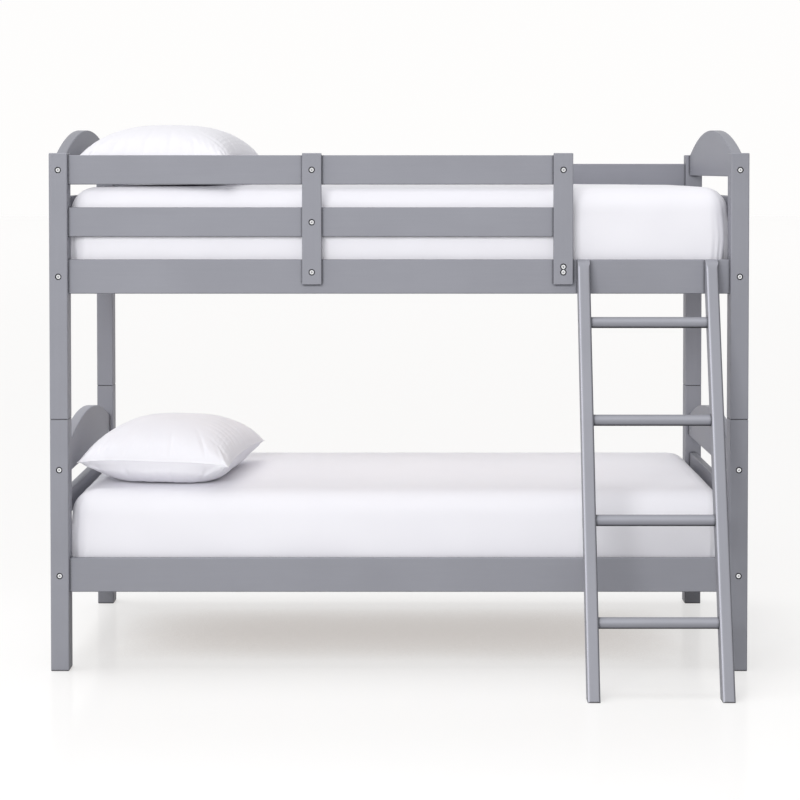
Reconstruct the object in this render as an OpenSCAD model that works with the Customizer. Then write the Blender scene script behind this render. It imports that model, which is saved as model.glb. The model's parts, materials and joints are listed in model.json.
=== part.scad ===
// Twin-over-twin bunk bed: two stacked beds with arched end panels, front and rear
// guard rails and a leaning ladder that hooks on the upper side rail.
// X runs along the bed, Y from the ladder side to the rear, Z up. The origin lies on
// the floor, in the middle of the footprint that the posts and the ladder's feet fill.

/* [Bed] */
// Length over the posts
bed_l = 2020; // [1960:5:2200]
// Width over the posts
bed_w = 1060; // [1000:5:1250]
// Height of the lower posts, where the two beds part
lower_post_h = 732; // [690:1:800]
// Height of the upper bed above the lower one, from rail to rail
tier_rise = 868; // [840:1:960]

/* [Posts] */
// Width of a post along the bed
post_w = 53; // [48:1:70]
// Depth of a post across the bed
post_d = 70; // [54:1:85]
// Radius of the long edges of a post
post_ease = 4; // [1:0.5:8]
// Chamfer round both ends of a post
post_chamfer = 2; // [0.5:0.5:4]

/* [Stacking pins] */
// Diameter of the steel pins between lower and upper posts
pin_d = 10; // [8:0.5:14]
// Length of a stacking pin
stacking_pin_length = 90; // [60:2:120]
// Clearance round a pin in the upper post
pin_clear = 0.1; // [0.05:0.05:0.5]

/* [Side rails] */
// Height of the lower edge of the lower side rails above the floor
rail_z = 227; // [180:1:260]
// Height of a side rail and of an end rail
rail_h = 99; // [90:1:130]
// Thickness of a side rail
rail_t = 22; // [20:1:30]
// How far the rails' outer faces lie behind the posts' outer faces
rail_setback = 20; // [15:1:24]
// Radius of the long edges of rails and boards
rail_ease = 3; // [1:0.5:6]

/* [Slats] */
// Height of a slat ledger
ledger_h = 30; // [25:1:40]
// Width of a slat ledger
ledger_w = 20; // [18:1:30]
// Height of the ledger's lower edge above the side rail's
ledger_up = 3; // [0:1:10]
// Distance from a ledger's end to the post
ledger_end = 20; // [5:1:60]
// Number of screws that hold one ledger
ledger_screws = 6; // [3:1:9]
// Width of a slat
slat_w = 70; // [50:1:90]
// Thickness of a slat
slat_t = 16; // [12:1:20]
// Number of slats in one bed
slat_count = 13; // [10:1:15]
// Distance from the first slat to the posts
slat_margin = 60; // [20:5:100]
// Gap between a slat's end and the side rail
slat_clear = 3; // [1:0.5:6]
// Distance of a slat's screw from its end
slat_screw_in = 12; // [9:1:15]

/* [End frames] */
// Height of an arched panel's lower edge above the floor, on the lower bed
arch_z = 566; // [540:1:590]
// Height of an arched panel at its ends
arch_end_h = 68; // [55:1:90]
// Rise of the arch in the middle of the panel
arch_rise = 74; // [40:1:110]
// Thickness of an arched panel
arch_t = 30; // [26:1:36]
// Height of a crosspiece's lower edge above the floor, on the lower bed
cross_z = 438; // [420:1:460]
// Height of a crosspiece
cross_h = 70; // [60:1:90]
// Thickness of a crosspiece and of an end rail
cross_t = 22; // [20:1:30]

/* [Guard rails] */
// Height of a guard rail
guard_h = 85; // [70:1:95]
// Thickness of a guard rail
guard_t = 22; // [20:1:28]
// Gap below each guard rail
guard_gap = 66; // [50:1:75]
// How much lower the rear guard lies than the front one
rear_guard_drop = 23; // [0:1:35]
// Width of a guard post
guard_post_w = 56; // [45:1:70]
// Distance of the left guard post's middle from the left end of the bed
guard_left_in = 758; // [650:1:820]
// Width of the ladder opening, between the right guard post and the right post
guard_opening = 455; // [440:1:520]
// How far a guard post reaches down over the side rail
guard_hang = 72; // [60:1:85]
// Depth of the side rail's guard bolts below the rail's top edge
guard_bolt_drop = 36; // [30:1:45]
// Distance between the two bolts at the foot of the right guard post
guard_bolt_pair = 16; // [15.5:0.5:20]

/* [Bolts and nuts] */
// Diameter of the furniture bolts
bolt_d = 6; // [5:0.5:8]
// Diameter of a bolt's head
bolt_head_d = 14; // [12:0.5:16]
// Height of a bolt's head
bolt_head_h = 4; // [3:0.5:4.5]
// Width across the flats of the hex socket
bolt_socket = 5; // [3:0.5:6]
// Diameter of the counterbore round a head
counterbore_d = 18.5; // [17:0.5:22]
// Depth of the counterbore
counterbore_depth = 5; // [4.5:0.5:6]
// Clearance round a bolt in the wood
bolt_clear = 0.3; // [0.1:0.1:0.6]
// Diameter of a barrel nut
nut_d = 10; // [9:0.5:12]
// Distance of a barrel nut behind the joint that its bolt closes
nut_back = 32; // [25:1:40]
// Wood left between a barrel nut and the outer face
nut_skin = 6; // [4:0.5:8]
// Clearance round nuts, dowels and threads
fit_clear = 0.1; // [0.05:0.05:0.3]
// Height of the end rail's bolts above the rail's lower edge
end_bolt_up = 50; // [45:1:55]
// Height of the arched panel's bolts above its lower edge
arch_bolt_up = 19; // [15:1:30]
// Height of the side rail's bolts from either edge of the rail
side_bolt_in = 24; // [18:1:28]
// Flange diameter of a sleeve nut
sleeve_flange_d = 15; // [12:0.5:15.5]
// Outer diameter of a sleeve nut
sleeve_d = 8.6; // [8.2:0.2:10]
// Length of a sleeve nut in the wood
sleeve_l = 14; // [10:1:16]

/* [Dowels and screws] */
// Diameter of a dowel
dowel_d = 8; // [6:1:10]
// Length of a dowel
dowel_l = 36; // [30:1:38]
// Distance of a board's dowels from its edges
dowel_in = 18; // [12:1:22]
// Diameter of a wood screw
screw_d = 4; // [3:0.5:4.5]
// Diameter of a wood screw's head
screw_head_d = 8; // [7:0.5:9]
// Length of a wood screw
screw_l = 30; // [26:1:32]

/* [Ladder] */
// Distance of the ladder's middle from the right end of the bed
ladder_in = 293; // [285:1:300]
// Distance between the middles of the ladder's rails
ladder_span = 369; // [340:1:380]
// How far the ladder's feet stand in front of the posts
ladder_out = 383; // [300:1:450]
// Width of a ladder rail
ladder_rail_w = 35; // [32:1:42]
// Depth of a ladder rail, square to its length
ladder_rail_d = 58; // [46:1:64]
// Depth of a ladder rail that is left in front of the side rail, at the top
ladder_head = 32; // [28:1:38]
// Radius of the rounded head of a ladder rail
ladder_head_r = 36; // [20:1:38]
// Radius of the long edges of a ladder rail
ladder_ease = 7; // [3:0.5:10]
// Radius at the corners of a ladder foot
foot_r = 4; // [1:0.5:8]
// Diameter of a rung
rung_d = 32; // [28:1:36]
// Height of the first rung above the floor
rung_first = 201; // [180:1:240]
// Distance between the rungs in height
rung_pitch = 271.5; // [250:0.5:280]
// Number of rungs
rung_count = 4; // [3:1:4]
// Depth of a rung's socket in the ladder rail
rung_seat = 10; // [6:1:12]
// Diameter of a rung screw
rung_screw_d = 5; // [4:0.5:6]
// Length of a rung screw
rung_screw_l = 55; // [45:1:70]
// Diameter of the counterbore over a rung screw
rung_bore_d = 14; // [11:0.5:16]
// Depth of that counterbore
rung_bore_depth = 8; // [6:0.5:10]

/* [Ladder hooks] */
// Thickness of the hook plates
hook_t = 2.5; // [2:0.1:3]
// Width of the hook plates
hook_w = 22; // [16:1:24]
// Height of a hook plate's flat base
hook_base = 26; // [24:1:28]
// Height of a hook's tongue
hook_tongue = 14; // [10:1:16]
// Height of the keeper's lower edge above the side rail's
keeper_up = 13; // [8:1:16]
// Play between hook, keeper and wood
hook_play = 0.3; // [0.2:0.1:0.6]
// Length of the screws through the hook plates
hook_screw_l = 18; // [14:1:20]

/* [Mattresses] */
// Gap between a mattress and the arched panels at its ends
mattress_end_gap = 8; // [6:0.5:60]
// Gap between a mattress and the side rails
mattress_side_gap = 9; // [6:0.5:40]
// Thickness of the lower mattress
lower_mattress_h = 244; // [150:1:260]
// Thickness of the upper mattress
upper_mattress_h = 265; // [180:1:275]
// Radius of a mattress's upright corners
mattress_corner_r = 54; // [40:2:110]
// Radius of its upper edges
mattress_top_r = 74; // [25:1:80]
// Radius of its lower edges
mattress_bottom_r = 22; // [10:1:40]
// How far the sides swell out at mid height
mattress_swell = 4.5; // [0:0.5:6]
// Rise of the sleeping surface from its edge to its middle
mattress_crown = 6; // [0:1:12]
// Gap that keeps bedding clear of what it lies on
soft_clear = 0.3; // [0.2:0.1:1]

/* [Pillows] */
// Size of a pillow along the bed
pillow_w = 445; // [400:1:500]
// Size of a pillow across the bed
pillow_l = 628; // [500:1:700]
// Thickness of a pillow in its middle
pillow_h = 182; // [140:1:200]
// Height of a pillow's seam above the mattress
pillow_seam = 77; // [40:1:90]
// How much higher the seam lies on the side of the bed's end
pillow_lift = 8; // [0:1:20]
// Distance of a pillow's middle from the end of the bed
pillow_in = 323; // [305:1:400]
// How far a pillow lies towards the front of the bed
pillow_forward = 117; // [0:1:130]
// Turn of a pillow on the mattress, in degrees
pillow_turn = 6.3; // [0:0.1:8]

/* [Hidden] */
$fn = 48;

// Finishes, for the preview
painted = "#8d8f96";
steel = "silver";
raw_wood = "burlywood";
bedding = "#f2f2f6";

// The two beds and the four corners
LOWER = 0;
UPPER = 1;
LEFT = -1;
RIGHT = 1;
FRONT = -1;
REAR = 1;

// Lean of the ladder, whose head rests on the outer face of the upper side rail
ladder_top = tier_rise + rail_z + rail_h;
lean = atan((ladder_out + rail_setback - ladder_head) / ladder_top);

// The footprint: the rounded toe of the ladder is its foremost point
toe_in = foot_r * (1 / tan((90 - lean) / 2) - 1);
front_y = (ladder_out - toe_in - bed_w) / 2;
foot_y = front_y - ladder_out;
mid_y = front_y + bed_w / 2;

// Heights on the lower bed; the upper bed repeats them tier_rise higher
rail_top = rail_z + rail_h;
arch_end_top = arch_z + arch_end_h;
upper_top = tier_rise + arch_end_top;
slat_z = rail_z + ledger_up + ledger_h;
slat_top = slat_z + slat_t;
end_bolt_z = rail_z + end_bolt_up;
arch_bolt_z = arch_z + arch_bolt_up;

// Lengths between the posts
rail_l = bed_l - 2 * post_w;
end_l = bed_w - 2 * post_d;
inner_w = bed_w - 2 * (rail_setback + rail_t);
guard_left_x = guard_left_in - bed_l / 2;
guard_right_x = bed_l / 2 - post_w - guard_opening - guard_post_w / 2;
guard_l = guard_right_x + guard_post_w / 2 + bed_l / 2 - post_w;
ladder_x = bed_l / 2 - ladder_in;
mattress_l = bed_l - post_w - arch_t - 2 * mattress_end_gap;
mattress_w = inner_w - 2 * mattress_side_gap;

// Middle planes of the end frames and of the side rails, from the outer faces
end_x = post_w / 2;
side_y = rail_setback + rail_t / 2;
guard_y = rail_setback + guard_t / 2;

// Heights of the guard on the upper bed
guard_mid_z = tier_rise + rail_top + guard_gap;
guard_top_z = guard_mid_z + guard_h + guard_gap;
guard_post_z = tier_rise + rail_top - guard_hang;
guard_foot_bolt_z = tier_rise + rail_top - guard_bolt_drop;
guard_reveal = 1;

// The ladder's depth in Y, and its upright heel just in front of the side rail
rail_face = front_y + rail_setback;
ladder_depth_y = ladder_rail_d / cos(lean);
heel_y = rail_face - hook_play;

// The hooks: the keeper's tongue stands one gap in front of its base
hook_gap = hook_t + 2 * hook_play;
hook_out = hook_gap + hook_t;
keeper_z = tier_rise + rail_z + keeper_up;
keeper_top = keeper_z + hook_base + hook_t + hook_tongue;

// Small cutting overlap
eps = 1;

// ---------- outlines ----------

function unit(v) = v / norm(v);

// Points of an arc of radius r that rounds the corner b of the path a, b, c
function rounded_corner(a, b, c, r, n = 16) =
    let (u = unit(a - b), v = unit(c - b), half = acos(u * v) / 2)
    let (m = b + unit(u + v) * r / sin(half))
    let (p = b + u * r / tan(half) - m, q = b + v * r / tan(half) - m)
    let (start = atan2(p[1], p[0]), turn = atan2(q[1], q[0]) - start)
    let (sweep = turn > 180 ? turn - 360 : turn < -180 ? turn + 360 : turn)
    [for (i = [0:n]) m + r * [cos(start + sweep * i / n), sin(start + sweep * i / n)]];

// Rectangle with round corners
module rounded(w, d, r) {
    square([w - 2 * r, d], center = true);
    square([w, d - 2 * r], center = true);
    for (sx = [-1, 1], sy = [-1, 1])
        translate([sx * (w / 2 - r), sy * (d / 2 - r)]) circle(r);
}

// Board along +Z with eased long edges, centred on its section
module board(w, d, l, r = rail_ease) {
    linear_extrude(l) rounded(w, d, r);
}

// Board along X with its section's middle at the origin: d deep in Y, h high in Z
module board_x(l, d, h, r = rail_ease) {
    translate([-l / 2, 0, 0]) rotate([0, 90, 0]) board(h, d, l, r);
}

// Board along Y with its section's middle at the origin: t thick in X, h high in Z
module board_y(l, t, h, r = rail_ease) {
    translate([0, -l / 2, 0]) rotate([-90, 0, 0]) board(t, h, l, r);
}

// Slab that cuts a chamfer c along both ends of a board of width w and length l
module chamfer_slab(w, l, c, deep) {
    out = w / 2 + deep;
    rotate([90, 0, 0]) linear_extrude(deep * 4, center = true) polygon([
        [-w / 2 + c, 0], [w / 2 - c, 0], [out, c + deep], [out, l - c - deep],
        [w / 2 - c, l], [-w / 2 + c, l], [-out, l - c - deep], [-out, c + deep]
    ]);
}

// Board along +Z whose ends are chamfered all round
module capped_board(w, d, l, r, c) {
    intersection() {
        board(w, d, l, r);
        chamfer_slab(w, l, c, d);
        rotate([0, 0, 90]) chamfer_slab(d, l, c, w);
    }
}

// ---------- places ----------

// A corner of the bed: +X and +Y lead inwards from the post's outer faces
module corner(sx, sy, tier = LOWER) {
    translate([sx * bed_l / 2, mid_y + sy * bed_w / 2, tier * tier_rise])
        mirror([sx > 0 ? 1 : 0, 0, 0]) mirror([0, sy > 0 ? 1 : 0, 0]) children();
}

module corners(tier) {
    for (sx = [LEFT, RIGHT], sy = [FRONT, REAR]) corner(sx, sy, tier) children();
}

// The axes of the two bolts that run across the bed, from the post's outer face
module across_bolts() {
    for (z = [end_bolt_z, arch_bolt_z])
        translate([end_x, 0, z]) rotate([-90, 0, 0]) children();
}

// The axes of the two bolts that run along the bed into the side rail
module along_bolts() {
    for (z = [rail_z + side_bolt_in, rail_top - side_bolt_in])
        translate([0, side_y, z]) rotate([0, 90, 0]) children();
}

// The ends of the dowels that run across the bed, at the post's inner face
module across_dowels() {
    rail_dowels = [rail_z + dowel_in, rail_top - dowel_in];
    cross_dowels = [cross_z + dowel_in, cross_z + cross_h - dowel_in];
    for (z = concat(rail_dowels, cross_dowels, [arch_end_top - dowel_in]))
        translate([end_x, post_d, z]) rotate([-90, 0, 0]) children();
}

// The ends of a guard rail's dowels, at the post's inner face, on the upper bed
module guard_dowels(sy) {
    for (z = [guard_mid_z, guard_top_z], up = [dowel_in, guard_h - dowel_in])
        translate([post_w, guard_y, z + up - guard_drop(sy) - tier_rise])
            rotate([0, 90, 0]) children();
}

// How far one side's guard lies below the front one
function guard_drop(sy) = sy == REAR ? rear_guard_drop : 0;

// The guard: +Y leads inwards from the posts' outer faces
module guard_side(sy) {
    translate([0, mid_y + sy * bed_w / 2, -guard_drop(sy)])
        mirror([0, sy > 0 ? 1 : 0, 0]) children();
}

// The guard bolts' axes, from the guard posts' outer faces
module guard_bolt_axes(sy, low = true, middle = true, top = true) {
    guard_side(sy) for (x = [guard_left_x, guard_right_x]) {
        pair = sy == FRONT && x == guard_right_x;
        foot = guard_foot_bolt_z + guard_drop(sy);
        heights = concat(
            low ? [foot] : [],
            low && pair ? [foot + guard_bolt_pair] : [],
            middle && !pair ? [guard_mid_z + guard_h / 2] : [],
            top ? [guard_top_z + guard_h / 2] : []);
        for (z = heights) translate([x, 0, z]) rotate([-90, 0, 0]) children();
    }
}

// The two screws that hold the middle guard rail to the right front guard post
module guard_screw_axes() {
    for (sx = [-1, 1])
        translate([guard_right_x + sx * guard_post_w / 4, rail_face + guard_t,
            guard_mid_z + guard_h / 2]) rotate([90, 0, 0]) children();
}

// Middles of the slats along the bed
slat_run = rail_l - 2 * slat_margin - slat_w;
slat_xs = [for (i = [0:slat_count - 1]) -slat_run / 2 + slat_run * i / (slat_count - 1)];

// The slat screws' axes, from the slats' upper faces down
module slat_screw_axes(tier) {
    reach = inner_w / 2 - slat_clear - slat_screw_in;
    for (x = slat_xs, sy = [FRONT, REAR])
        translate([x, mid_y + sy * reach, tier * tier_rise + slat_top])
            rotate([180, 0, 0]) children();
}

// The ledger screws' axes, from the ledgers' inner faces out, between the slats
module ledger_screw_axes(tier) {
    step = slat_run / (slat_count - 1);
    gaps = slat_count - 1;
    for (i = [0:ledger_screws - 1], sy = [FRONT, REAR]) {
        gap = round(i * (gaps - 1) / (ledger_screws - 1));
        translate([slat_xs[0] + (gap + 0.5) * step,
            mid_y + sy * (inner_w / 2 - ledger_w),
            tier * tier_rise + rail_z + ledger_up + ledger_h / 2])
            rotate([-90 * sy, 0, 0]) children();
    }
}

// ---------- fasteners ----------

// Hole for a bolt that starts at an outer face, with its counterbore
module bolt_hole(l) {
    translate([0, 0, -eps]) cylinder(d = counterbore_d, h = counterbore_depth + eps);
    cylinder(d = bolt_d + 2 * bolt_clear, h = l);
}

// Bolt along +Z from an outer face: round head with a hex socket, sunk in its counterbore
module bolt(l) {
    seat = counterbore_depth;
    crown = seat - bolt_head_h;
    bevel = 1;
    difference() {
        rotate_extrude() polygon([
            [0, crown], [bolt_head_d / 2 - bevel, crown], [bolt_head_d / 2, crown + bevel],
            [bolt_head_d / 2, seat], [bolt_d / 2, seat], [bolt_d / 2, l - bevel],
            [bolt_d / 2 - bevel, l], [0, l]
        ]);
        translate([0, 0, crown - eps])
            cylinder(d = bolt_socket / cos(30), h = bolt_head_h * 0.6 + eps, $fn = 6);
    }
}

// How far a bolt runs past the joint that it closes
bolt_past = nut_back + nut_d;

// Bores in a board's end: along +Z the bolt's, and across it, towards +X, the nut's
module nut_bores(t) {
    translate([0, 0, -eps]) cylinder(d = bolt_d + 2 * bolt_clear, h = bolt_past + 2 * eps);
    translate([nut_skin - t / 2, 0, nut_back]) rotate([0, 90, 0])
        cylinder(d = nut_d + 2 * fit_clear, h = t + eps);
}

// Barrel nut in those bores
module barrel_nut(t) {
    difference() {
        translate([nut_skin - t / 2 + fit_clear, 0, nut_back]) rotate([0, 90, 0])
            cylinder(d = nut_d, h = t - nut_skin - 4 * fit_clear);
        cylinder(d = bolt_d + 2 * fit_clear, h = bolt_past);
    }
}

// Dowel, and its hole, half to either side of a joint at the origin
module dowel() {
    bevel = 1;
    rotate_extrude() polygon([
        [0, -dowel_l / 2], [dowel_d / 2 - bevel, -dowel_l / 2], [dowel_d / 2, -dowel_l / 2 + bevel],
        [dowel_d / 2, dowel_l / 2 - bevel], [dowel_d / 2 - bevel, dowel_l / 2], [0, dowel_l / 2]
    ]);
}

module dowel_hole() {
    cylinder(d = dowel_d + 2 * fit_clear, h = dowel_l + 2 * eps, center = true);
}

// Countersunk wood screw along +Z, its head just under the surface at the origin
screw_sink = 0.4;
screw_head_h = (screw_head_d - screw_d) / 2;

module wood_screw(l = screw_l) {
    top = screw_sink;
    difference() {
        rotate_extrude() polygon([
            [0, top], [screw_head_d / 2, top], [screw_d / 2, top + screw_head_h],
            [screw_d / 2, l - screw_d], [0, l]
        ]);
        for (turn = [0, 90]) rotate([0, 0, turn])
            cube([screw_head_d * 0.55, screw_d * 0.22, 2 * (top + screw_head_h * 0.6)], center = true);
    }
}

module screw_hole(l = screw_l) {
    wide = screw_head_d + 2 * fit_clear;
    narrow = screw_d + 2 * fit_clear;
    translate([0, 0, -eps]) cylinder(d = wide, h = screw_sink + eps);
    translate([0, 0, screw_sink]) cylinder(d1 = wide, d2 = narrow, h = screw_head_h);
    cylinder(d = narrow, h = l + eps);
}

// Sleeve nut for a guard bolt: its flange lies on the rail's inner face, at the origin,
// and its sleeve runs back along +Z towards the bolt's head
module sleeve_nut() {
    flange_h = 2;
    bore = bolt_d / 2 + fit_clear;
    difference() {
        rotate_extrude() polygon([
            [0, -flange_h], [sleeve_flange_d / 2 - 1, -flange_h], [sleeve_flange_d / 2, -flange_h + 1],
            [sleeve_flange_d / 2, 0], [sleeve_d / 2, 0], [sleeve_d / 2, sleeve_l],
            [bore, sleeve_l], [bore, eps], [0, eps]
        ]);
        translate([0, 0, -flange_h - eps])
            cylinder(d = bolt_socket / cos(30), h = flange_h + eps, $fn = 6);
    }
}

guard_stack = rail_setback + guard_t;
guard_bolt_short = 2;

// Hole for a guard bolt and its sleeve nut
module guard_hole() {
    bolt_hole(guard_stack + eps);
    translate([0, 0, guard_stack - sleeve_l - eps])
        cylinder(d = sleeve_d + 2 * fit_clear, h = sleeve_l + 2 * eps);
}

// ---------- frame ----------

// A post in its corner, on the floor or on the post below it
module post(sx, sy, tier) {
    z0 = tier == LOWER ? 0 : lower_post_h - tier_rise;
    z1 = tier == LOWER ? lower_post_h : arch_end_top;
    through = post_w + post_d;
    difference() {
        corner(sx, sy, tier) translate([post_w / 2, post_d / 2, z0])
            capped_board(post_w, post_d, z1 - z0, post_ease, post_chamfer);
        corner(sx, sy, tier) {
            across_bolts() bolt_hole(through);
            along_bolts() bolt_hole(through);
            across_dowels() dowel_hole();
            translate([post_w / 2, post_d / 2, lower_post_h - tier * tier_rise])
                cylinder(d = pin_d + 2 * pin_clear, h = stacking_pin_length + 2 * eps,
                    center = true);
            if (tier == UPPER && (sy == REAR || sx == LEFT)) guard_dowels(sy) dowel_hole();
        }
    }
}

// Holes that both ends of the boards of one end frame share
module end_frame_holes(sx, tier) {
    for (sy = [FRONT, REAR]) corner(sx, sy, tier) {
        translate([0, post_d, 0]) {
            translate([end_x, 0, end_bolt_z]) rotate([-90, 0, 0]) nut_bores(cross_t);
            translate([end_x, 0, arch_bolt_z]) rotate([-90, 0, 0]) nut_bores(arch_t);
        }
        across_dowels() dowel_hole();
    }
}

module end_place(sx, tier) {
    translate([sx * (bed_l / 2 - end_x), mid_y, tier * tier_rise]) children();
}

// Panel with a straight lower edge and an arched upper edge, both eased
module arch_panel(sx, tier) {
    chord = end_l / 2;
    arch_r = (chord * chord + arch_rise * arch_rise) / (2 * arch_rise);
    full_h = arch_end_h + arch_rise;
    color(painted) difference() {
        end_place(sx, tier) intersection() {
            translate([0, 0, arch_z + full_h])
                board_y(end_l, arch_t, 2 * full_h);
            translate([0, 0, arch_z + full_h - arch_r]) rotate([0, 90, 0])
                rotate_extrude($fn = 720) arch_rim(arch_r);
        }
        end_frame_holes(sx, tier);
    }
}

// Half section of the disc that the arched edge is cut from
module arch_rim(arch_r) {
    translate([0, -arch_t / 2]) square([arch_r - rail_ease, arch_t]);
    translate([0, -arch_t / 2 + rail_ease]) square([arch_r, arch_t - 2 * rail_ease]);
    for (s = [-1, 1])
        translate([arch_r - rail_ease, s * (arch_t / 2 - rail_ease)]) circle(rail_ease);
}

module crosspiece(sx, tier) {
    color(painted) difference() {
        end_place(sx, tier) translate([0, 0, cross_z + cross_h / 2])
            board_y(end_l, cross_t, cross_h);
        end_frame_holes(sx, tier);
    }
}

module end_rail(sx, tier) {
    color(painted) difference() {
        end_place(sx, tier) translate([0, 0, rail_z + rail_h / 2])
            board_y(end_l, cross_t, rail_h);
        end_frame_holes(sx, tier);
    }
}

// Side rail between two posts, with its nuts' bores, ledger screws and, on the upper
// bed, what holds the guard posts and the ladder
module side_rail(sy, tier) {
    color(painted) difference() {
        translate([0, mid_y + sy * (bed_w / 2 - side_y), tier * tier_rise + rail_z + rail_h / 2])
            board_x(rail_l, rail_t, rail_h);
        for (sx = [LEFT, RIGHT]) corner(sx, sy, tier)
            for (z = [rail_z + side_bolt_in, rail_top - side_bolt_in])
                translate([post_w, side_y, z]) rotate([0, 90, 0]) rotate([0, 0, 90])
                    nut_bores(rail_t);
        ledger_screw_axes(tier) screw_hole();
        if (tier == UPPER) guard_bolt_axes(sy, middle = false, top = false) side_guard_hole();
        if (tier == UPPER && sy == FRONT) keeper_screw_axes() screw_hole(hook_screw_l);
    }
}

// Guard bolt's hole where the side rail's thickness, not the guard rail's, takes the sleeve
module side_guard_hole() {
    bolt_hole(rail_setback + rail_t + eps);
    translate([0, 0, rail_setback + rail_t - sleeve_l - eps])
        cylinder(d = sleeve_d + 2 * fit_clear, h = sleeve_l + 2 * eps);
}

module slat_ledgers(tier) {
    color(painted) for (sy = [FRONT, REAR]) difference() {
        translate([0, mid_y + sy * (inner_w - ledger_w) / 2,
            tier * tier_rise + rail_z + ledger_up + ledger_h / 2])
            board_x(rail_l - 2 * ledger_end, ledger_w, ledger_h, 1.5);
        ledger_screw_axes(tier) screw_hole();
        slat_screw_axes(tier) screw_hole();
    }
}

module slats(tier) {
    color(raw_wood) for (x = slat_xs) difference() {
        translate([x, mid_y, tier * tier_rise + slat_z + slat_t / 2])
            board_y(inner_w - 2 * slat_clear, slat_w, slat_t);
        slat_screw_axes(tier) screw_hole();
    }
}

module frame_bolts(tier) {
    color(steel) corners(tier) {
        across_bolts() bolt(post_d + bolt_past);
        along_bolts() bolt(post_w + bolt_past);
    }
}

module barrel_nuts(tier) {
    color(steel) corners(tier) {
        translate([end_x, post_d, end_bolt_z]) rotate([-90, 0, 0]) barrel_nut(cross_t);
        translate([end_x, post_d, arch_bolt_z]) rotate([-90, 0, 0]) barrel_nut(arch_t);
        for (z = [rail_z + side_bolt_in, rail_top - side_bolt_in])
            translate([post_w, side_y, z]) rotate([0, 90, 0]) rotate([0, 0, 90])
                barrel_nut(rail_t);
    }
}

module dowels(tier) {
    color(raw_wood) {
        corners(tier) across_dowels() dowel();
        if (tier == UPPER) {
            corner(LEFT, FRONT, tier) guard_dowels(FRONT) dowel();
            for (sx = [LEFT, RIGHT]) corner(sx, REAR, tier) guard_dowels(REAR) dowel();
        }
    }
}

module wood_screws(tier) {
    color(steel) {
        ledger_screw_axes(tier) wood_screw();
        slat_screw_axes(tier) wood_screw();
        if (tier == UPPER) guard_screw_axes() wood_screw();
    }
}

// Pins that stand in the lower posts and carry the upper posts sideways
module stacking_pins() {
    bevel = 1.5;
    half = stacking_pin_length / 2;
    color(steel) corners(LOWER)
        translate([post_w / 2, post_d / 2, lower_post_h]) rotate_extrude() polygon([
            [0, -half], [pin_d / 2, -half], [pin_d / 2, half - bevel],
            [pin_d / 2 - bevel, half], [0, half]
        ]);
}

// ---------- guard ----------

// Guard rail at height z: the front one stops at the right guard post
module guard_rail(sy, z) {
    l = sy == FRONT ? guard_l - guard_reveal : rail_l;
    color(painted) difference() {
        guard_side(sy) translate([-bed_l / 2 + post_w + l / 2, guard_y, z + guard_h / 2])
            board_x(l, guard_t, guard_h);
        guard_bolt_axes(sy) guard_hole();
        guard_screw_holes(sy);
        corner(LEFT, sy, UPPER) guard_dowels(sy) dowel_hole();
        if (sy == REAR) corner(RIGHT, sy, UPPER) guard_dowels(sy) dowel_hole();
    }
}

module guard_screw_holes(sy) {
    if (sy == FRONT) guard_screw_axes() screw_hole();
}

// Upright board on the outer faces of the rails, flush with the posts
module guard_post(sy, x) {
    h = upper_top - guard_post_z;
    color(painted) difference() {
        guard_side(sy) translate([x, rail_setback / 2, guard_post_z])
            capped_board(guard_post_w, rail_setback, h, rail_ease, 1.5);
        guard_bolt_axes(sy) bolt_hole(guard_stack);
        guard_screw_holes(sy);
    }
}

module guard_bolts() {
    color(steel) for (sy = [FRONT, REAR]) {
        guard_bolt_axes(sy, low = false) bolt(guard_stack - guard_bolt_short);
        guard_bolt_axes(sy, middle = false, top = false)
            bolt(rail_setback + rail_t - guard_bolt_short);
    }
}

module guard_sleeve_nuts() {
    color(steel) for (sy = [FRONT, REAR]) {
        guard_bolt_axes(sy, low = false)
            translate([0, 0, guard_stack]) mirror([0, 0, 1]) sleeve_nut();
        guard_bolt_axes(sy, middle = false, top = false)
            translate([0, 0, rail_setback + rail_t]) mirror([0, 0, 1]) sleeve_nut();
    }
}

// ---------- ladder ----------

// Front line of the ladder rails at height z
function ladder_front(z) = foot_y + z * tan(lean);

// Outline of a ladder rail, seen from its side: a flat foot, a leaning shank, an upright
// heel against the side rail and a head that rounds back from the front
function ladder_outline() =
    let (toe = [foot_y, 0], back = [foot_y + ladder_depth_y, 0])
    let (heel = [heel_y, (heel_y - back[0]) / tan(lean)])
    let (crown = [heel_y, ladder_top], brow = [ladder_front(ladder_top), ladder_top])
    concat(rounded_corner(brow, toe, back, foot_r, 6), rounded_corner(toe, back, heel, foot_r, 6),
        [heel], [crown], rounded_corner(crown, brow, toe, ladder_head_r, 24));

module ladder_rail_place(s) {
    translate([ladder_x + s * ladder_span / 2, 0, 0]) children();
}

// Middle of the ladder's depth at height z
function ladder_mid(z) = ladder_front(z) + ladder_depth_y / 2;

// Both ends of every rung, at the ladder rails' inner faces, with +Z leading outwards
module rung_ends(sides = [LEFT, RIGHT]) {
    inner = (ladder_span - ladder_rail_w) / 2;
    for (i = [0:rung_count - 1], s = sides) {
        z = rung_first + i * rung_pitch;
        translate([ladder_x + s * inner, ladder_mid(z), z]) rotate([0, 90 * s, 0]) children();
    }
}

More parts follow.
